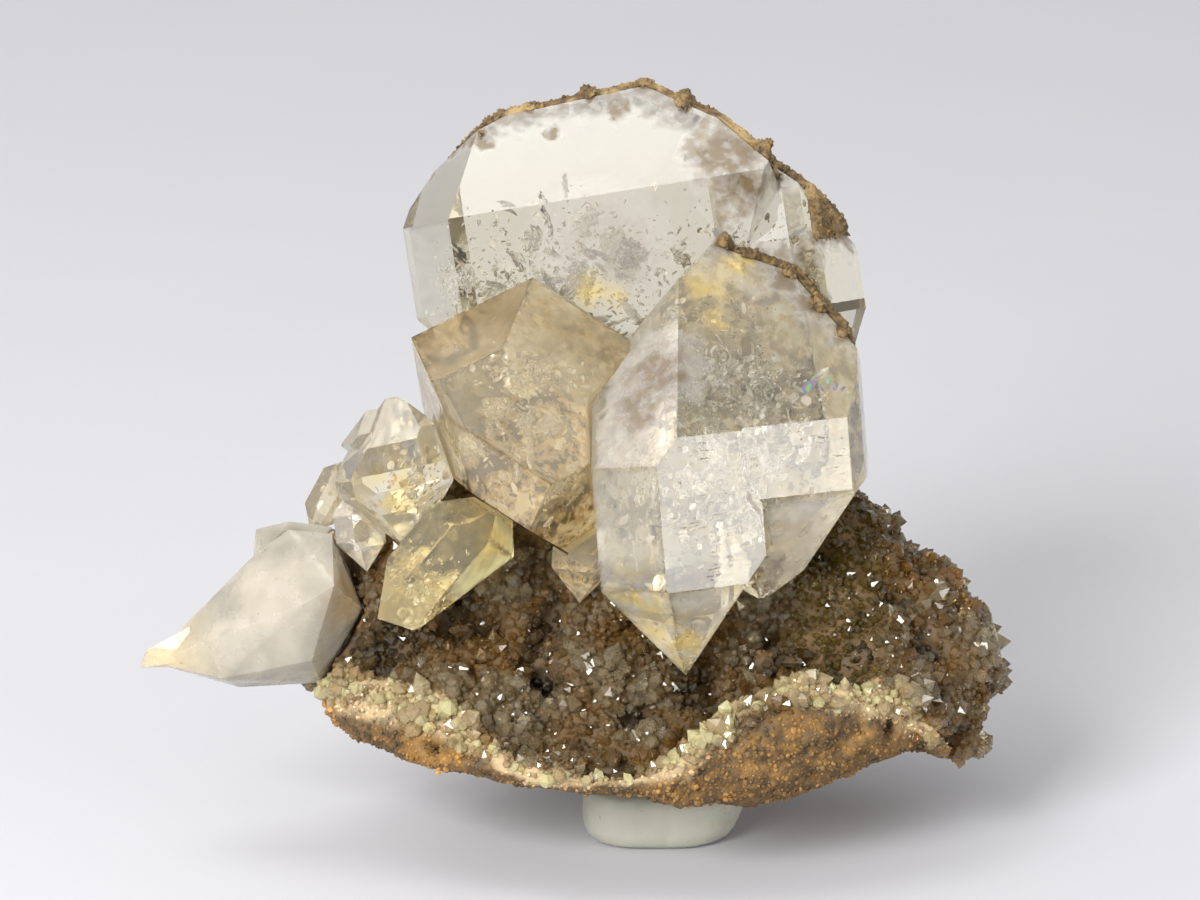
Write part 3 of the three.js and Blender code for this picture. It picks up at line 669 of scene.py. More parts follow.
def rock_material(look):
    """Rough brown rock with a pale lip and rust stains, and painted shade in its hollows and low spots."""
    shader = Shader("rock")
    grain = shader.noise(1.1, 4.0, 0.65)
    patches = shader.noise(6.0, 2.0, 0.6)
    # Painted shade: the rock and the bed below the druse are darker where the bump is low.
    colour = shader.mix(shader.spread(grain, 0.35, 0.70), tuple(look.dark), tuple(look.brown))
    colour = shader.mix(shader.spread(patches, 0.45, 0.75, 0.0, 0.5), colour, scaled(look.brown, 1.9))
    bed = shader.mix(shader.spread(grain, 0.30, 0.65), scaled(look.bed, 0.5), tuple(look.bed))
    colour = shader.mix(shader.attribute("bed"), colour, bed)
    blotches = shader.spread(shader.noise(2.2, 2.0), 0.30, 0.62, 0.0, 0.7)
    rust = shader.math("MULTIPLY", shader.attribute("rust"), blotches)
    colour = shader.mix(rust, colour, tuple(look.rust))
    pale = shader.math("MULTIPLY", shader.attribute("pale"), shader.spread(grain, 0.25, 0.55))
    colour = shader.mix(pale, colour, tuple(look.pale))
    # Painted shade: the pits and the valleys between the druse clumps are darkened.
    colour = shader.mix(shader.attribute("hollow"), colour, scaled(look.dark, 0.5))
    shade = shader.spread(shader.attribute("tone"), 0.0, 1.0, 0.55, 0.0)
    colour = shader.mix(shade, colour, tuple(look.dark))
    shader.principled(
        base_color=colour, roughness=shader.spread(grain, 0.3, 0.8, 0.55, 0.92),
        normal=shader.bump(grain, 0.3, 0.8))
    return shader.material


def druse_material(look):
    """Small glassy quartz points, from clear through brown to greenish, and pale at the lip. The crests of
    their clumps are painted light, and their valleys and the pits are painted dark as shade.
    """
    shader = Shader("druse")
    tone = shader.math("POWER", shader.attribute("tone"), 1.3)
    pale = shader.attribute("pale")
    colour = shader.mix(tone, tuple(look.druse_brown), tuple(look.druse_clear))
    warm = shader.math("MULTIPLY", shader.attribute("warm"), 0.75)
    colour = shader.mix(warm, colour, tuple(look.druse_warm))
    # Painted light: the druse is lighter on the crests of its clumps.
    crest = shader.math("MULTIPLY", shader.attribute("crest"), 0.75)
    colour = shader.mix(crest, colour, tuple(look.druse_clear))
    colour = shader.mix(shader.attribute("green"), colour, tuple(look.druse_green))
    rust = shader.math("MULTIPLY", shader.attribute("rust"), 0.7)
    colour = shader.mix(rust, colour, scaled(look.rust, 1.4))
    colour = shader.mix(pale, colour, shader.mix(tone, scaled(look.pale, 0.6), scaled(look.pale, 1.3)))
    # Painted shade in the pits and in the valleys between the clumps.
    colour = shader.mix(shader.attribute("hollow"), colour, tuple(look.dark))
    stain = shader.noise(0.9, 1.0)
    colour = shader.mix(shader.spread(stain, 0.4, 0.7, 0.0, 0.3), colour, tuple(look.brown))
    shader.principled(
        base_color=colour, roughness=shader.spread(stain, 0.3, 0.8, 0.0, 0.12),
        ior=QUARTZ_INDEX, transmission_weight=shader.spread(pale, 0.0, 1.0, 0.90, 0.63))
    return shader.material


def rind_material(look):
    """Brown crust, tan and rusty in patches, and golden on the front crystal. Its crevices, where its bump
    is low, are painted dark as shade.
    """
    shader = Shader("rind")
    grain = shader.noise(0.7, 4.0, 0.65)
    # Painted shade: the crust is darkened where its bump is low.
    colour = shader.mix(shader.spread(grain, 0.3, 0.7), scaled(look.rind_brown, 0.3), tuple(look.rind_brown))
    colour = shader.mix(shader.spread(shader.noise(3.0, 5.0), 0.45, 0.65), colour, tuple(look.rind_tan))
    rust = shader.spread(shader.noise(2.0, 4.0, 0.6, 0.5), 0.62, 0.74, 0.0, 0.8)
    colour = shader.mix(rust, colour, tuple(look.rind_rust))
    front = shader.math("MULTIPLY", shader.near(*FRONT_RIND_PLACE), 0.9)
    # On the front crystal too, the low spots of the bump are painted dark as shade.
    gold = shader.mix(shader.spread(grain, 0.40, 0.65), scaled(look.rind_brown, 0.3), tuple(look.rind_gold))
    colour = shader.mix(front, colour, gold)
    shader.principled(
        base_color=colour, roughness=shader.spread(grain, 0.3, 0.8, 0.45, 0.85),
        normal=shader.bump(grain, 0.2, 0.7))
    return shader.material


def calcite_material(look):
    """Milky calcite: light goes into it and comes back soft. It is yellower at its tip and stained where it
    joins the rock."""
    shader = Shader("calcite")
    clouds = shader.noise(6.0, 4.0, 0.5, 0.4)
    cloudy = shader.spread(clouds, 0.3, 0.7)
    colour = shader.mix(cloudy, scaled(look.calcite, 0.72), scaled(look.calcite, 1.1))
    colour = shader.mix(shader.near(*CALCITE_TIP), colour, tuple(look.calcite_tip))
    joint = shader.math("MULTIPLY", shader.near(*CALCITE_JOINT), 0.6)
    colour = shader.mix(joint, colour, tuple(look.calcite_joint))
    specks = shader.spread(shader.noise(0.8, 2.0), 0.71, 0.75, 0.0, 0.7)
    colour = shader.mix(specks, colour, tuple(look.calcite_speck))
    shader.principled(
        base_color=colour, roughness=shader.spread(shader.noise(2.5, 2.0), 0.3, 0.7, 0.08, 0.40),
        ior=CALCITE_INDEX, subsurface_weight=0.6, subsurface_scale=4.0 * MM,
        subsurface_radius=(1.0, 0.9, 0.75), transmission_weight=0.35,
        normal=shader.bump(shader.noise(1.6, 4.0), 0.05, 0.4))
    return shader.material


def putty_material(look):
    """Pale greenish putty, matt, with specks and a smear of dirt."""
    shader = Shader("putty")
    cloudy = shader.spread(shader.noise(4.0, 4.0), 0.3, 0.7)
    colour = shader.mix(cloudy, scaled(look.putty, 0.90), tuple(look.putty))
    specks = shader.spread(shader.noise(0.55, 2.0), 0.72, 0.77, 0.0, 0.75)
    colour = shader.mix(specks, colour, tuple(look.putty_speck))
    smear = shader.spread(shader.noise(1.0, 4.0), 0.5, 0.62)
    smear = shader.math("MULTIPLY", shader.near(*PUTTY_SMEAR), smear)
    colour = shader.mix(smear, colour, tuple(look.putty_smear))
    shader.principled(
        base_color=colour, roughness=shader.spread(shader.noise(1.5, 4.0), 0.3, 0.7, 0.45, 0.65),
        subsurface_weight=0.25, subsurface_scale=1.5 * MM,
        normal=shader.bump(shader.noise(0.8, 4.0), 0.08, 0.4))
    return shader.material


def floor_material(look):
    """Plain pale paper with a faint tooth, with painted light far off."""
    shader = Shader("floor")
    fibre = shader.noise(1.2, 4.0)
    cloudy = shader.spread(shader.noise(60.0), 0.3, 0.7)
    colour = shader.mix(cloudy, tuple(look.floor), scaled(look.floor, 0.985))
    # Painted light: a lighter patch on the floor far behind the object.
    colour = shader.mix(shader.near(*FLOOR_PAINTED_LIGHT), colour, scaled(look.floor, FLOOR_PAINTED_LIGHT_GAIN))
    shader.principled(
        base_color=colour, roughness=shader.spread(fibre, 0.3, 0.7, 0.75, 0.85),
        normal=shader.bump(fibre, 0.02, 0.2))
    return shader.material


def faces_of(node):
    """A node's flat faces in millimetres: its triangles are welded and joined into whole faces."""
    shape = bmesh.new()
    shape.from_mesh(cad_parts[node].data)
    bmesh.ops.remove_doubles(shape, verts=shape.verts, dist=WELD)
    bmesh.ops.dissolve_limit(shape, angle_limit=FLAT_ANGLE, verts=shape.verts, edges=shape.edges)
    bmesh.ops.scale(shape, vec=(1 / MM,) * 3, verts=shape.verts)
    for part in (shape.verts, shape.edges, shape.faces):
        part.index_update()
        part.ensure_lookup_table()
    shape.normal_update()
    return shape


def field(points, size, seed, octaves=2):
    """Smooth noise from about -1 to 1 at each point, with lumps of about the given size."""
    shift = Vector((seed * 13.7, seed * 5.3, seed * 9.1))
    return np.array([noise.fractal(Vector(p) / size + shift, 1.0, 2.0, octaves) for p in points])


def eased(values, low, high):
    """0 up to the low value, rising smoothly to 1 at the high one."""
    share = np.clip((values - low) / (high - low), 0, 1)
    return share * share * (3 - 2 * share)


def fading(values, whole, gone):
    """1 up to the first value, falling smoothly to 0 at the second."""
    return eased(-values, -gone, -whole)


def distance_to(points, centre):
    return np.linalg.norm(points - np.array(centre), axis=1)


def rim_distance(points, rim):
    """How far each point is from a closed rim of straight edges, in the plane or in space."""
    along = np.roll(rim, -1, axis=0) - rim
    squares = (along ** 2).sum(1)
    best = np.full(len(points), np.inf)
    for corner, step, square in zip(rim, along, squares):
        share = np.clip(((points - corner) @ step) / square, 0, 1)
        best = np.minimum(best, np.linalg.norm(points - corner - share[:, None] * step, axis=1))
    return best


class Skin:
    """A crystal's flat faces cut into small even triangles, so that they can carry growth steps."""

    def __init__(self, shape, spacing_of):
        self.points = [v.co.copy() for v in shape.verts]
        self.normals = [Vector() for _ in shape.verts]
        self.depth = [0.0] * len(self.points)
        self.triangles = []
        along = {
            edge.index: self.cut_edge(edge, min(map(spacing_of, edge.link_faces))) for edge in shape.edges
        }
        for face in shape.faces:
            self.fill_face(face, along, spacing_of(face))

    def add(self, point, normal, depth):
        self.points.append(point)
        self.normals.append(normal)
        self.depth.append(depth)
        return len(self.points) - 1

    def cut_edge(self, edge, spacing):
        """Cuts an edge into even lengths, and gives the numbers of the points along it."""
        first, last = edge.verts
        count = max(1, math.ceil((last.co - first.co).length / spacing))
        middle = [self.add(first.co.lerp(last.co, i / count), Vector(), 0.0) for i in range(1, count)]
        return [first.index, *middle, last.index]

    def fill_face(self, face, along, spacing):
        """Joins an even grid of points inside a face to the points along its edges."""
        rim = []
        for loop in face.loops:
            ids = along[loop.edge.index]
            rim.extend(ids[:-1] if ids[0] == loop.vert.index else ids[:0:-1])
        origin = face.verts[0].co
        right = face.normal.orthogonal().normalized()
        up = face.normal.cross(right)
        flat = np.array([((self.points[i] - origin) @ right, (self.points[i] - origin) @ up) for i in rim])
        low, high = flat.min(0), flat.max(0)
        row = spacing * math.sqrt(3) / 2
        grid = np.array([
            (x + (j % 2) * spacing / 2, y)
            for j, y in enumerate(np.arange(low[1], high[1], row))
            for x in np.arange(low[0], high[0], spacing)
        ]).reshape(-1, 2)
        depth = rim_distance(grid, flat) if len(grid) else np.zeros(0)
        keep = depth > 0.6 * spacing
        inner = grid[keep]
        every = [Vector(p) for p in (*flat, *inner)]
        made = geometry.delaunay_2d_cdt(every, [], [list(range(len(rim)))], 1, 1e-5)
        ids = {}
        for corners in made[2]:
            triangle = []
            for corner in corners:
                if corner not in ids:
                    ids[corner] = self.id_of(made, corner, rim, origin, right, up, face.normal, depth[keep])
                triangle.append(ids[corner])
            self.triangles.append(triangle)

    def id_of(self, made, corner, rim, origin, right, up, normal, depth):
        """The number of the point that a corner of the filled face stands for, added if it is new."""
        sources = made[3][corner]
        if sources and sources[0] < len(rim):
            return rim[sources[0]]
        place = origin + right * made[0][corner].x + up * made[0][corner].y
        inner = depth[sources[0] - len(rim)] if sources else 0.0
        return self.add(place, normal.copy(), inner)


def growth_relief(points, normals, depth, axis, steps, stepped, look):
    """How far each point of a crystal's skin lies below its flat face: terraces across the prism faces, finer
    on the stepped face, and low swells on the pyramid faces."""
    steep = np.abs(normals @ axis)
    prism = 1 - eased(steep, 0.15, 0.40)
    calm = normals @ np.array(FLAT_FACE) > SAME_FACE
    height = points @ axis
    warp = field(points, 7.0, 1, 3)
    phase = height / np.where(stepped > 0.5, FINE_STEP_RISE, STEP_RISE) + STEP_WANDER * warp
    saw = phase - np.floor(phase)
    terrace = np.where(saw < TREAD, eased(saw, 0.0, TREAD), fading(saw, TREAD, 1.0))
    fine = field(points * np.array((1.0, 1.0, 2.2)), 1.0, 2, 2)
    swell = field(points, 3.5, 3, 2)
    share = steps * prism + (look.stepped_height / MM - steps) * stepped
    relief = share * ((1 - terrace) * (0.55 + 0.45 * warp) + 0.22 * fine)
    relief += SWELL_SHARE * steps * (1 - prism) * (1 - calm) * swell
    return np.maximum(relief, -HIGHEST_STEP) * eased(depth, 0.0, EDGE_REST)


def crack(rng, middle, normal, radius, gap):
    """One crack: a thin bent lens with a ragged rim, its faces turned inwards because it is a gap. A large
    one is crinkled."""
    sides, rings, crinkle = FLAKE if radius < SHEET_RADIUS else SHEET
    right = normal.orthogonal().normalized()
    up = normal.cross(right)
    narrow = rng.uniform(*CRACK_NARROW)
    bend = rng.uniform(-CRACK_BEND, CRACK_BEND)
    points = [middle + normal * gap / 2, middle - normal * gap / 2]
    for i in range(sides):
        turn = math.tau * i / sides
        reach = radius * rng.uniform(*CRACK_RIM)
        out = (right * math.cos(turn) + up * math.sin(turn) * narrow) * reach
        lift = normal * (bend * reach + rng.uniform(-CRACK_STRAY, CRACK_STRAY) * radius)
        for k in range(1, rings + 1):
            share = k / (rings + 1)
            spot = middle + out * share + lift * share ** 2 + normal * rng.uniform(-crinkle, crinkle)
            points += [spot + normal * gap * CRACK_THICKNESS, spot - normal * gap * CRACK_THICKNESS]
        points.append(middle + out + lift)
    faces = []
    stride = 2 * rings + 1
    for i in range(sides):
        a, b = 2 + stride * i, 2 + stride * ((i + 1) % sides)
        faces += [(0, b, a), (1, a + 1, b + 1)]
        for k in range(0, 2 * rings - 2, 2):
            faces += [(a + k, b + k, b + k + 2), (a + k, b + k + 2, a + k + 2)]
            faces += [(a + k + 1, b + k + 3, b + k + 1), (a + k + 1, a + k + 3, b + k + 3)]
        rim, last = 2 * rings, 2 * rings - 2
        faces += [(a + last, b + last, b + rim), (a + last, b + rim, a + rim)]
        faces += [(a + last + 1, b + rim, b + last + 1), (a + last + 1, a + rim, b + rim)]
    return points, faces


def is_inside(tree, point, room):
    """Whether a point lies inside a closed shape, with some room to its faces."""
    place, normal, _, distance = tree.find_nearest(point)
    return distance > room and (point - place).dot(normal) < 0


def cracks_in(crystal, shape, look, rng):
    """The cracks inside a crystal, each wholly within its faces, and how frosted, white and
    rainbow-coloured each of their points is."""
    tree = BVHTree.FromBMesh(shape)
    points, faces, frost, white, fire = [], [], [], [], []
    gap = look.crack_gap / MM
    for patch in crystal.cracks:
        lean = Vector([rng.gauss(0, 1) for _ in range(3)]).normalized()
        for _ in range(patch.count):
            middle = Vector([m + rng.gauss(0, s) * CRACK_GATHER for m, s in zip(patch.middle, patch.spread)])
            radius = patch.small + (patch.large - patch.small) * rng.random() ** 2
            normal = (lean + Vector([rng.gauss(0, CRACK_LEAN) for _ in range(3)])).normalized()
            ring, sides = crack(rng, middle, normal, radius, gap)
            if all(is_inside(tree, p, CRACK_ROOM) for p in ring):
                faces += [[len(points) + i for i in side] for side in sides]
                points += ring
                frost += [rng.choice(CRACK_FROST)] * len(ring)
                white += [rng.choice(CRACK_WHITE) * (1 - patch.fire)] * len(ring)
                fire += [patch.fire] * len(ring)
    return points, faces, {"frost": frost, "white": white, "fire": fire}


def piece(name, mesh, material, slot, *nodes):
    """A finished piece: it rides on the body, takes the given material and stands for its nodes. Its slot is
    not used.
    """
    made = bpy.data.objects.new(name, mesh)
    bpy.context.scene.collection.objects.link(made)
    mesh.materials.clear()
    mesh.materials.append(material)
    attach(made, BODY)
    if nodes:
        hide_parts(*nodes)


def mesh_of(name, points, faces):
    """A mesh from points in millimetres, smooth between its sharp edges."""
    mesh = bpy.data.meshes.new(name)
    mesh.from_pydata([tuple(c * MM for c in p) for p in points], [], faces)
    mesh.validate()
    mesh.polygons.foreach_set("use_smooth", [True] * len(mesh.polygons))
    mesh.set_sharp_from_angle(angle=SHARP_ANGLE)
    mesh.update()
    return mesh


def remeshed(node, cell):
    """A closed even skin of small cells over a node, as a mesh in metres."""
    shape = bmesh.new()
    shape.from_mesh(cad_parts[node].data)
    bmesh.ops.remove_doubles(shape, verts=shape.verts, dist=WELD)
    mesh = bpy.data.meshes.new(node + "_even")
    shape.to_mesh(mesh)
    shape.free()
    holder = bpy.data.objects.new(mesh.name, mesh)
    bpy.context.scene.collection.objects.link(holder)
    cover = holder.modifiers.new("cells", "REMESH")
    cover.mode = "VOXEL"
    cover.voxel_size = cell
    even = bpy.data.meshes.new_from_object(holder.evaluated_get(bpy.context.evaluated_depsgraph_get()))
    bpy.data.objects.remove(holder)
    return even


def points_of(mesh):
    """The mesh's points in millimetres and their normals."""
    points = np.empty(len(mesh.vertices) * 3, np.float32)
    normals = np.empty_like(points)
    mesh.vertices.foreach_get("co", points)
    mesh.vertices.foreach_get("normal", normals)
    return points.reshape(-1, 3).astype(float) / MM, normals.reshape(-1, 3).astype(float)


def set_points(mesh, points):
    mesh.vertices.foreach_set("co", (points * MM).astype(np.float32).ravel())
    mesh.polygons.foreach_set("use_smooth", [True] * len(mesh.polygons))
    mesh.update()


def set_attribute(mesh, name, values):
    layer = mesh.attributes.new(name, "FLOAT", "POINT")
    layer.data.foreach_set("value", np.clip(values, 0, 1).astype(np.float32))


def clearance(points, nodes, limit):
    """Each point's distance to the nearest of the given nodes in millimetres, up to a limit."""
    best = np.full(len(points), limit)
    for node in nodes:
        low, high = (np.array(corner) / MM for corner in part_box(node))
        close = np.flatnonzero(((points > low - limit) & (points < high + limit)).all(1))
        shape = faces_of(node)
        tree = BVHTree.FromBMesh(shape)
        best[close] = np.minimum(best[close], [tree.find_nearest(Vector(points[i]))[3] for i in close])
        shape.free()
    return best


class QUARTZ_OT_crystals(bpy.types.Operator):
    """Make the clear, smoky and yellow crystals"""

    bl_idname = "quartz.crystals"
    bl_label = "Crystals"

    def execute(self, context):
        look = context.scene.quartz_look
        materials = {
            "clear": quartz_material(
                "clear_quartz", look, look.clear_skin, look.veil, look.clear_tint, look.clear_density,
                CLEAR_STAINS),
            "smoky": quartz_material(
                "smoky_quartz", look, look.smoky_skin, look.veil, look.smoky_tint,
                look.smoky_density, ()),
            "yellow": quartz_material(
                "yellow_quartz", look, look.yellow_skin, look.yellow_veil_and_painted_light, look.yellow_tint,
                look.yellow_density, YELLOW_STAINS),
        }
        for crystal in CRYSTALS:
            self.make(crystal, materials[crystal.quartz], look)
        return {"FINISHED"}

    def make(self, crystal, material, look):
        shape = faces_of(crystal.node)
        turn_x, turn_y = (math.radians(t) for t in crystal.turn)
        axis = np.array((Matrix.Rotation(turn_x, 3, "X") @ Matrix.Rotation(turn_y, 3, "Y")).col[2])

        def spacing_of(face):
            is_stepped = crystal.node == "front_crystal" and face.normal.dot(STEPPED_FACE) > SAME_FACE
            return (look.fine_facet if is_stepped else look.facet) / MM

        skin = Skin(shape, spacing_of)
        points = np.array(skin.points)
        normals = np.array(skin.normals)
        stepped = np.zeros(len(points))
        if crystal.node == "front_crystal":
            stepped = (normals @ np.array(STEPPED_FACE) > SAME_FACE).astype(float)
        relief = growth_relief(points, normals, np.array(skin.depth), axis, crystal.steps, stepped, look)
        points = points - normals * relief[:, None]
        rng = random.Random(look.seed + len(crystal.node))
        gaps, gap_faces, gap_marks = cracks_in(crystal, shape, look, rng)
        faces = skin.triangles + [[i + len(points) for i in f] for f in gap_faces]
        shape.free()
        mesh = mesh_of(crystal.piece, [*points, *gaps], faces)
        marks = self.marks(points, normals, crystal)
        marks["stepped"] = stepped
        marks["white"] = np.zeros(len(points))
        marks["fire"] = np.zeros(len(points))
        clean = np.zeros(len(gaps))
        for name, values in marks.items():
            set_attribute(mesh, name, np.concatenate((values, gap_marks.get(name, clean))))
        piece(crystal.piece, mesh, material, SLOT_OF_QUARTZ[crystal.quartz], crystal.node)

    def marks(self, points, normals, crystal):
        """How far each point of a crystal's skin has brown film, sits on the rock, is frosted by a crystal
        that touches it, or is hazy."""
        ragged = field(points, 2.2, 71, 3) + 0.5 * field(points, 0.9, 72, 2)
        film = 0.9 * fading(clearance(points, RINDS, 6.0) + 2.0 * ragged, *RIND_REACH)
        for centre, radius, share in FILM_SPOTS:
            reach = distance_to(points, centre) + 1.5 * ragged
            film = np.maximum(film, share * fading(reach, 0.3 * radius, radius))
        centre, radius = CLEAR_SPOT
        film *= eased(distance_to(points, centre), 0.7 * radius, radius)
        veil = np.full(len(points), crystal.haze)
        if crystal.node == "front_crystal":
            there_and_back = np.array((*SUTURE, *SUTURE[-2:0:-1])) * WITHOUT_DEPTH
            line = rim_distance(points * WITHOUT_DEPTH, there_and_back) + 0.06 * ragged
            facing = normals[:, 1] < SUTURE_FACING
            share = SUTURE_STRENGTH * facing
            film = np.maximum(film, share * fading(line, 0.5 * SUTURE_WIDTH, SUTURE_WIDTH))
        for patch in VEILS:
            if patch.node == crystal.node:
                reach = distance_to(points, patch.middle)
                on_face = normals @ np.array(Vector(patch.normal).normalized()) > VEIL_SHARE
                share = patch.share * (0.85 + 0.3 * ragged) * fading(reach, 0.6 * patch.radius, patch.radius)
                veil = np.maximum(veil, share * on_face)
        seat = fading(clearance(points, ["matrix"], 2.0) + 0.5 * ragged, *SEAT_REACH)
        if crystal.node in ROUGH_BACKS:
            hidden = eased(normals @ np.array(REARWARD), 0.2, 0.5) * (0.8 + 0.5 * ragged)
            seat = np.maximum(seat, 0.65 * hidden) * eased(points[:, 2], *ROUGH_HEIGHTS)
        neighbours = [c.node for c in CRYSTALS if c.node != crystal.node]
        frost = fading(clearance(points, neighbours, 2.0), *TOUCH_REACH)
        return {"film": film, "seat": seat, "frost": frost, "veil": veil}


class QUARTZ_OT_rock(bpy.types.Operator):
    """Make the rock and the druse that lines it"""

    bl_idname = "quartz.rock"
    bl_label = "Rock and Druse"

    def execute(self, context):
        look = context.scene.rock_look
        mesh = remeshed("matrix", look.cell)
        points, normals = points_of(mesh)
        others = [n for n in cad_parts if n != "matrix"]
        room = clearance(points, others, 3.0)
        swell = field(points, 5.5, 23, 2)
        marks = self.regions(points, normals, room, swell)
        relief = look.relief / MM
        lumps = relief * field(points, 2.6, 21, 3) + 0.5 * relief * field(points, 0.9, 22, 2)
        clumps = 4.5 * relief * swell * marks["druse"]
        clumps -= 2.0 * marks["hollow"]
        lumps = clumps + lumps * (0.5 + 0.9 * marks["broken"]) - 0.8 * relief * (1 - marks["broken"])
        set_points(mesh, points + normals * (lumps * eased(room, 0.3, 1.2))[:, None])
        for name in ("pale", "rust", "green", "hollow", "grain", "bed", "warm", "crest"):
            set_attribute(mesh, name, marks[name])
        bed, bare = mesh.copy(), mesh.copy()
        stony = rock_material(look)
        piece("rock", mesh, stony, "matrix_rock", "matrix")
        glassy = druse_material(look)
        druse = scattered(bed, marks["druse"], druse_point(), glassy, look.spacing, look.small_point,
                          look.large_point, look.lean, look.seed)
        piece("druse", druse, glassy, "matrix_rock")
        grains = scattered(bare, marks["bare"], stone_grain(), stony, look.grain_spacing, look.small_grain,
                           look.large_grain, math.pi, look.seed)
        piece("rock_grains", grains, stony, "matrix_rock")
        return {"FINISHED"}

    def regions(self, points, normals, room, swell):
        """Where the rock carries druse, is broken, pale, rusty, greenish or bare, where it is hollow and
        painted dark as shade, how large its points and grains are, where the druse is warm, and where it
        stands on a crest that is painted light."""
        x, y, z = points.T
        lip_y, lip_z, lip_width = (np.interp(x, LIP[:, 0], LIP[:, i]) for i in (1, 2, 3))
        rough = field(points, 4.0, 31, 3)
        ragged = field(points, 1.5, 32, 2)
        from_lip = np.hypot(y - lip_y, z - lip_z)
        above = z - lip_z + 0.8 + 1.2 * rough
        right_end = eased(x + 2 * rough, *RIGHT_END)
        facing = eased(normals[:, 2], -0.75, -0.35)
        front = fading(y + 3 * rough, *DRUSE_BACK)
        druse = np.maximum(eased(above, -0.6, 0.4), right_end * eased(z, *RIGHT_END_FOOT)) * facing * front
        broken = eased(-above, 0.0, 1.0) * eased(x, *BROKEN_START) * (1 - right_end)
        edge = from_lip - 0.9 * ragged - 0.8 * rough
        pale = fading(edge, 0.35 * lip_width, lip_width) * (1 - eased(x, *LIP_END))
        rust = fading(np.hypot(x - RUST_LOW[0], z - RUST_LOW[1]), *RUST_REACH) * (1 - pale)
        rust += 0.7 * broken * eased(rough + 0.02 * (x - BROKEN_RUST), 0.0, 0.6)
        rust += 0.6 * fading(np.hypot(x - RUST_HIGH[0], z - RUST_HIGH[1]), *RUST_REACH)
        across = (x - GREEN_MIDDLE[0]) / GREEN_SIZE[0]
        upward = (z - GREEN_MIDDLE[1]) / GREEN_SIZE[1]
        green = fading(np.hypot(across, upward), 0.5, 1.1)
        hollow = np.zeros(len(points))
        for place, radius in PITS:
            hollow = np.maximum(hollow, fading(distance_to(points, place), 0.3 * radius, radius))
        # The valleys between the druse clumps are painted dark as shade, as the pits are.
        hollow = np.maximum(hollow, 0.7 * eased(-swell, 0.15, 0.55) * druse * (1 - pale))
        warm = eased(field(points, 7.0, 33, 2), -0.15, 0.35)
        # The crests of the clumps carry larger points and are painted lighter as light.
        crest = eased(swell + 0.3 * ragged, 0.10, 0.50)
        grain = 0.42 + 0.35 * rough - 0.30 * green + 0.08 * pale + 0.30 * crest
        druse = druse * eased(room, 0.5, 0.9) * (1 - 0.6 * hollow)
        bare = (1 - druse) * eased(room, 0.6, 1.0) * eased(normals[:, 2], -0.97, -0.80)
        return {"druse": druse, "broken": broken, "pale": pale * (1 - hollow), "rust": rust, "green": green,
                "hollow": hollow, "grain": grain, "bare": bare, "bed": druse, "warm": warm, "crest": crest}


def druse_point():
    """One druse point: a six-sided prism with a pyramid on it, of unit width, rooted below its origin."""
    shape = bmesh.new()
    rings = []
    for reach, height in ((0.40, -0.5), (0.50, 0.45)):
        turns = [math.radians(60 * i) for i in range(6)]
        rings.append([shape.verts.new((reach * math.cos(t), reach * math.sin(t), height)) for t in turns])
    tip = shape.verts.new((0.05, 0.03, 1.0))
    for i in range(6):
        j = (i + 1) % 6
        shape.faces.new((rings[0][i], rings[0][j], rings[1][j], rings[1][i]))
        shape.faces.new((rings[1][i], rings[1][j], tip))
    shape.faces.new(rings[0][::-1])
    return template("druse_point", shape)


def stone_grain():
    """One grain of rock: a lumpy block of about unit width."""
    shape = bmesh.new()
    bmesh.ops.create_icosphere(shape, subdivisions=1, radius=0.5)
    rng = random.Random(5)
    for corner in shape.verts:
        corner.co *= rng.uniform(0.75, 1.2)
    return template("stone_grain", shape)


def template(name, shape):
    mesh = bpy.data.meshes.new(name)
    shape.to_mesh(mesh)
    shape.free()
    return bpy.data.objects.new(name, mesh)


def scattered(bed, cover, shape, material, spacing, smallest, largest, lean, seed):
    """Copies of a small shape over the bed, where its cover says so, as one plain mesh."""
    set_attribute(bed, "cover", cover)
    holder = bpy.data.objects.new("bed", bed)
    bpy.context.scene.collection.objects.link(holder)
    tree, inputs = scatter_tree(shape, material)
    grow = holder.modifiers.new("scatter", "NODES")
    grow.node_group = tree
    for name, value in (("Spacing", spacing), ("Smallest", smallest), ("Largest", largest), ("Lean", lean),
                        ("Seed", seed)):
        grow[inputs[name]] = value
    made = bpy.data.meshes.new_from_object(holder.evaluated_get(bpy.context.evaluated_depsgraph_get()))
    holder.modifiers.remove(grow)
    bpy.data.objects.remove(holder)
    bpy.data.objects.remove(shape)
    return made


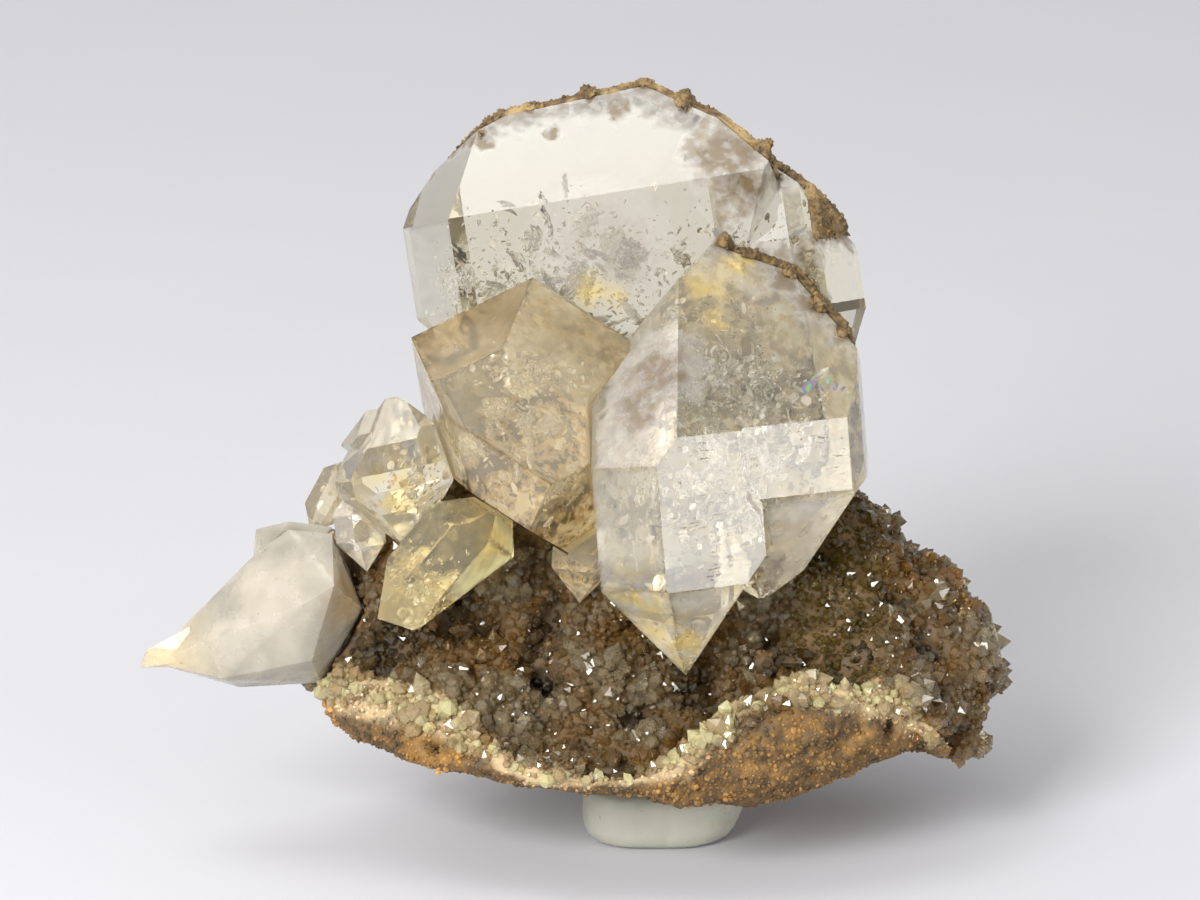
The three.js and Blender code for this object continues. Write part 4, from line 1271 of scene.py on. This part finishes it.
def scatter_tree(small_shape, material):
    """The node tree that scatters a small shape, and the identifiers of its inputs."""
    tree = bpy.data.node_groups.new("scatter", "GeometryNodeTree")
    sockets = {}
    for name, kind in (("Geometry", "Geometry"), ("Spacing", "Float"), ("Smallest", "Float"),
                       ("Largest", "Float"), ("Lean", "Float"), ("Seed", "Int")):
        socket = tree.interface.new_socket(name, in_out="INPUT", socket_type="NodeSocket" + kind)
        sockets[name] = socket.identifier
    tree.interface.new_socket("Geometry", in_out="OUTPUT", socket_type="NodeSocketGeometry")

    def add(kind, **settings):
        node = tree.nodes.new(kind)
        for key, value in settings.items():
            setattr(node, key, value)
        return node

    def put(socket, value):
        if isinstance(value, bpy.types.NodeSocket):
            tree.links.new(value, socket)
        else:
            socket.default_value = value

    def named(name):
        node = add("GeometryNodeInputNamedAttribute", data_type="FLOAT")
        node.inputs["Name"].default_value = name
        return node.outputs["Attribute"]

    def chance(low, high, step):
        """A random number for each point, with its own step from the tree's seed."""
        seed = add("ShaderNodeMath", operation="ADD")
        tree.links.new(given.outputs["Seed"], seed.inputs[0])
        seed.inputs[1].default_value = step
        node = add("FunctionNodeRandomValue", data_type="FLOAT")
        floats = [s for s in node.inputs if s.type == "VALUE" and s.name in ("Min", "Max") and s.enabled]
        for socket, value in zip(floats, (low, high)):
            put(socket, value)
        tree.links.new(seed.outputs[0], node.inputs["Seed"])
        return next(s for s in node.outputs if s.type == "VALUE" and s.enabled)

    def calc(kind, first, second):
        node = add("ShaderNodeMath", operation=kind)
        for socket, value in zip(node.inputs, (first, second)):
            put(socket, value)
        return node.outputs[0]

    given = add("NodeGroupInput")
    scatter = add("GeometryNodeDistributePointsOnFaces", distribute_method="POISSON")
    tree.links.new(given.outputs["Geometry"], scatter.inputs["Mesh"])
    tree.links.new(given.outputs["Spacing"], scatter.inputs["Distance Min"])
    tree.links.new(given.outputs["Seed"], scatter.inputs["Seed"])
    scatter.inputs["Density Max"].default_value = 4e6
    tree.links.new(named("cover"), scatter.inputs["Density Factor"])

    upright = add("FunctionNodeAlignRotationToVector", axis="Z")
    tree.links.new(scatter.outputs["Normal"], upright.inputs["Vector"])
    lean = add("ShaderNodeCombineXYZ")
    back = calc("MULTIPLY", given.outputs["Lean"], -1.0)
    for i, step in enumerate((1, 2)):
        tree.links.new(chance(back, given.outputs["Lean"], step), lean.inputs[i])
    tree.links.new(chance(0.0, math.tau, 3), lean.inputs[2])
    tilt = add("FunctionNodeEulerToRotation")
    tree.links.new(lean.outputs["Vector"], tilt.inputs["Euler"])
    turned = add("FunctionNodeRotateRotation", rotation_space="LOCAL")
    tree.links.new(upright.outputs["Rotation"], turned.inputs["Rotation"])
    tree.links.new(tilt.outputs["Rotation"], turned.inputs["Rotate By"])

    share = calc("POWER", chance(0.0, 1.0, 4), 2.6)
    reach = calc("SUBTRACT", given.outputs["Largest"], given.outputs["Smallest"])
    width = calc("MULTIPLY_ADD", share, reach)
    tree.links.new(given.outputs["Smallest"], width.node.inputs[2])
    width = calc("MULTIPLY", width, calc("ADD", named("grain"), 0.55))
    size = add("ShaderNodeCombineXYZ")
    tree.links.new(width, size.inputs[0])
    tree.links.new(width, size.inputs[1])
    tree.links.new(calc("MULTIPLY", width, chance(0.6, 1.2, 5)), size.inputs[2])

    shape = add("GeometryNodeObjectInfo", transform_space="ORIGINAL")
    shape.inputs["Object"].default_value = small_shape
    grown = add("GeometryNodeInstanceOnPoints")
    tree.links.new(scatter.outputs["Points"], grown.inputs["Points"])
    tree.links.new(shape.outputs["Geometry"], grown.inputs["Instance"])
    tree.links.new(turned.outputs["Rotation"], grown.inputs["Rotation"])
    tree.links.new(size.outputs["Vector"], grown.inputs["Scale"])
    tone = add("GeometryNodeStoreNamedAttribute", data_type="FLOAT", domain="INSTANCE")
    tree.links.new(grown.outputs["Instances"], tone.inputs["Geometry"])
    tone.inputs["Name"].default_value = "tone"
    tree.links.new(chance(0.0, 1.0, 6), next(s for s in tone.inputs if s.name == "Value" and s.enabled))
    real = add("GeometryNodeRealizeInstances")
    tree.links.new(tone.outputs["Geometry"], real.inputs["Geometry"])
    dress = add("GeometryNodeSetMaterial")
    tree.links.new(real.outputs["Geometry"], dress.inputs["Geometry"])
    dress.inputs["Material"].default_value = material
    result = add("NodeGroupOutput")
    tree.links.new(dress.outputs["Geometry"], result.inputs["Geometry"])
    return tree, sockets


class QUARTZ_OT_rinds(bpy.types.Operator):
    """Make the brown crusts on the back and front crystals"""

    bl_idname = "quartz.rinds"
    bl_label = "Rinds"

    def execute(self, context):
        look = context.scene.cover_look
        material = rind_material(look)
        for node, name in (("back_rind", "rind_back"), ("front_rind", "rind_front")):
            mesh = remeshed(node, look.rind_cell)
            points, normals = points_of(mesh)
            room = clearance(points, [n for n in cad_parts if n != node], 2.0)
            relief = look.rind_relief / MM
            lumps = relief * (field(points, 1.4, 41, 3) + 0.8 * field(points, 0.6, 42, 2) - 1.8)
            lumps = lumps * eased(room, 0.25, 0.6) + 0.22 * fading(room, 0.3, 0.6)
            set_points(mesh, points + normals * lumps[:, None])
            set_attribute(mesh, "grain", 0.5 + 0.4 * field(points, 2.0, 43, 2))
            bed = mesh.copy()
            piece(name, mesh, material, "brown_rind", node)
            grains = scattered(bed, eased(room, 0.3, 0.5), stone_grain(), material, look.crumb_spacing,
                               look.small_crumb, look.large_crumb, math.pi, look.crumb_seed)
            piece(name + "_crumbs", grains, material, "brown_rind")
        return {"FINISHED"}


class QUARTZ_OT_calcite(bpy.types.Operator):
    """Make the milky calcite point"""

    bl_idname = "quartz.calcite"
    bl_label = "Calcite"

    def execute(self, context):
        look = context.scene.cover_look
        shape = faces_of("calcite_point")
        skin = Skin(shape, lambda face: CALCITE_FACET)
        shape.free()
        points, normals = np.array(skin.points), np.array(skin.normals)
        swell = 0.10 * field(points, 3.0, 51, 3) + 0.03 * field(points, 0.9, 52, 2)
        points = points + normals * (swell * eased(np.array(skin.depth), 0.0, 0.8))[:, None]
        mesh = mesh_of("calcite", points, skin.triangles)
        piece("calcite", mesh, calcite_material(look), "milky_calcite", "calcite_point")
        return {"FINISHED"}


class QUARTZ_OT_putty(bpy.types.Operator):
    """Make the lump of putty that the rock stands on"""

    bl_idname = "quartz.putty"
    bl_label = "Putty"

    def execute(self, context):
        look = context.scene.cover_look
        mesh = remeshed("putty_foot", look.putty_cell)
        points, normals = points_of(mesh)
        room = clearance(points, ["matrix"], 2.0)
        dents = 0.22 * field(points, 4.0, 61, 2) + 0.05 * field(points, 1.2, 62, 2)
        from_crease = np.abs(points[:, 0] - CREASE_X - CREASE_LEAN * points[:, 2])
        crease = -CREASE_DEPTH * fading(from_crease, 0.0, CREASE_WIDTH) * (points[:, 1] < 0)
        free = eased(points[:, 2], 0.2, 1.2) * eased(room, 0.3, 0.8)
        moved = points + normals * ((dents + crease) * free)[:, None]
        moved[:, 2] = np.maximum(moved[:, 2], 0.0)
        set_points(mesh, moved)
        piece("putty", mesh, putty_material(look), "putty", "putty_foot")
        return {"FINISHED"}


class QUARTZ_OT_stage(bpy.types.Operator):
    """Make the floor, the light and the camera"""

    bl_idname = "quartz.stage"
    bl_label = "Stage"

    def execute(self, context):
        look = context.scene.stage_look
        scene = context.scene
        self.add_floor(scene, look)
        self.add_light(KEY_LIGHT, look.key_power, WHITE)
        self.add_light(FRONT_LIGHT, look.front_power, WHITE)
        self.add_light(SIDE_LIGHT, look.side_power, WHITE)
        self.add_light(LEFT_LIGHT, look.left_power, look.left_colour)
        self.add_light(REAR_LIGHT, look.rear_power, look.left_colour)
        self.add_sky(scene, look)
        self.add_camera(scene)
        scene.view_settings.view_transform = "Standard"
        scene.cycles.max_bounces = 11
        scene.cycles.transmission_bounces = 11
        scene.cycles.glossy_bounces = 6
        scene.cycles.sample_clamp_indirect = 6.0
        return {"FINISHED"}

    def add_floor(self, scene, look):
        shape = bmesh.new()
        bmesh.ops.create_grid(shape, x_segments=8, y_segments=8, size=look.floor_size / 2)
        mesh = bpy.data.meshes.new("floor")
        shape.to_mesh(mesh)
        shape.free()
        mesh.materials.append(floor_material(look))
        floor = bpy.data.objects.new("floor", mesh)
        scene.collection.objects.link(floor)

    def add_light(self, light, power, colour):
        """A square light that faces the target."""
        lamp = bpy.data.lights.new(light.name, "AREA")
        lamp.size = light.side * MM
        lamp.energy = power
        lamp.color = colour
        hung = bpy.data.objects.new(light.name, lamp)
        hung.location = Vector(light.place) * MM
        facing = (Vector(light.place) - TARGET).to_track_quat("Z", "Y").to_matrix()
        hung.rotation_euler = (facing @ Matrix.Rotation(math.radians(light.turn), 3, "Z")).to_euler()
        bpy.context.scene.collection.objects.link(hung)

    def add_sky(self, scene, look):
        world = bpy.data.worlds.new("studio")
        world.use_nodes = True
        tree = world.node_tree
        place = tree.nodes.new("ShaderNodeTexCoord").outputs["Generated"]
        along = tree.nodes.new("ShaderNodeVectorMath")
        along.operation = "DOT_PRODUCT"
        along.inputs[1].default_value = SKY_FAR_SIDE
        split = tree.nodes.new("ShaderNodeSeparateXYZ")
        tree.links.new(place, along.inputs[0])
        tree.links.new(place, split.inputs[0])
        colour = tuple(look.sky_near)
        for value, limits, other in ((along.outputs["Value"], SKY_FAR_RANGE, look.sky_far),
                                     (split.outputs["Z"], SKY_TOP_RANGE, look.sky_top)):
            share = tree.nodes.new("ShaderNodeMapRange")
            share.inputs["From Min"].default_value, share.inputs["From Max"].default_value = limits
            tree.links.new(value, share.inputs["Value"])
            blend = tree.nodes.new("ShaderNodeMix")
            blend.data_type = "RGBA"
            first, second = (s for s in blend.inputs if s.type == "RGBA")
            if isinstance(colour, tuple):
                first.default_value = (*colour, 1.0)
            else:
                tree.links.new(colour, first)
            second.default_value = (*other, 1.0)
            tree.links.new(share.outputs["Result"], blend.inputs["Factor"])
            colour = next(s for s in blend.outputs if s.type == "RGBA")
        tree.links.new(colour, tree.nodes["Background"].inputs["Color"])
        scene.world = world

    def add_camera(self, scene):
        lens = bpy.data.cameras.new("camera")
        lens.sensor_width = SENSOR_WIDTH
        lens.lens = PIXELS_PER_MM * CAMERA_DISTANCE / PHOTO_WIDTH * SENSOR_WIDTH
        lens.clip_start = 0.01
        camera = bpy.data.objects.new("camera", lens)
        back = Vector((0, -math.cos(CAMERA_ELEVATION), math.sin(CAMERA_ELEVATION)))
        camera.location = (TARGET + back * CAMERA_DISTANCE) * MM
        camera.rotation_euler = back.to_track_quat("Z", "Y").to_euler()
        scene.collection.objects.link(camera)
        scene.camera = camera


OPERATORS = (
    QUARTZ_OT_stage, QUARTZ_OT_crystals, QUARTZ_OT_rock, QUARTZ_OT_rinds, QUARTZ_OT_calcite, QUARTZ_OT_putty,
)
LOOKS = (
    ("quartz_look", QuartzLook), ("rock_look", RockLook),
    ("cover_look", CoverLook), ("stage_look", StageLook),
)


class QUARTZ_PT_cluster(bpy.types.Panel):
    """Lists the steps that build the cluster"""

    bl_label = "Quartz Cluster"
    bl_space_type = "VIEW_3D"
    bl_region_type = "UI"
    bl_category = "Quartz"

    def draw(self, context):
        for operator in OPERATORS:
            self.layout.operator(operator.bl_idname)
        for name, group in LOOKS:
            box = self.layout.box()
            box.label(text=group.__doc__)
            for key in group.__annotations__:
                box.prop(getattr(context.scene, name), key)


def register():
    for name, group in LOOKS:
        bpy.utils.register_class(group)
        setattr(bpy.types.Scene, name, PointerProperty(type=group))
    for made in (*OPERATORS, QUARTZ_PT_cluster):
        bpy.utils.register_class(made)


def unregister():
    for made in (QUARTZ_PT_cluster, *reversed(OPERATORS)):
        bpy.utils.unregister_class(made)
    for name, group in reversed(LOOKS):
        delattr(bpy.types.Scene, name)
        bpy.utils.unregister_class(group)


def main():
    register()
    bpy.ops.quartz.stage()
    bpy.ops.quartz.crystals()
    bpy.ops.quartz.rock()
    bpy.ops.quartz.rinds()
    bpy.ops.quartz.calcite()
    bpy.ops.quartz.putty()


if __name__ == "__main__":
    main()
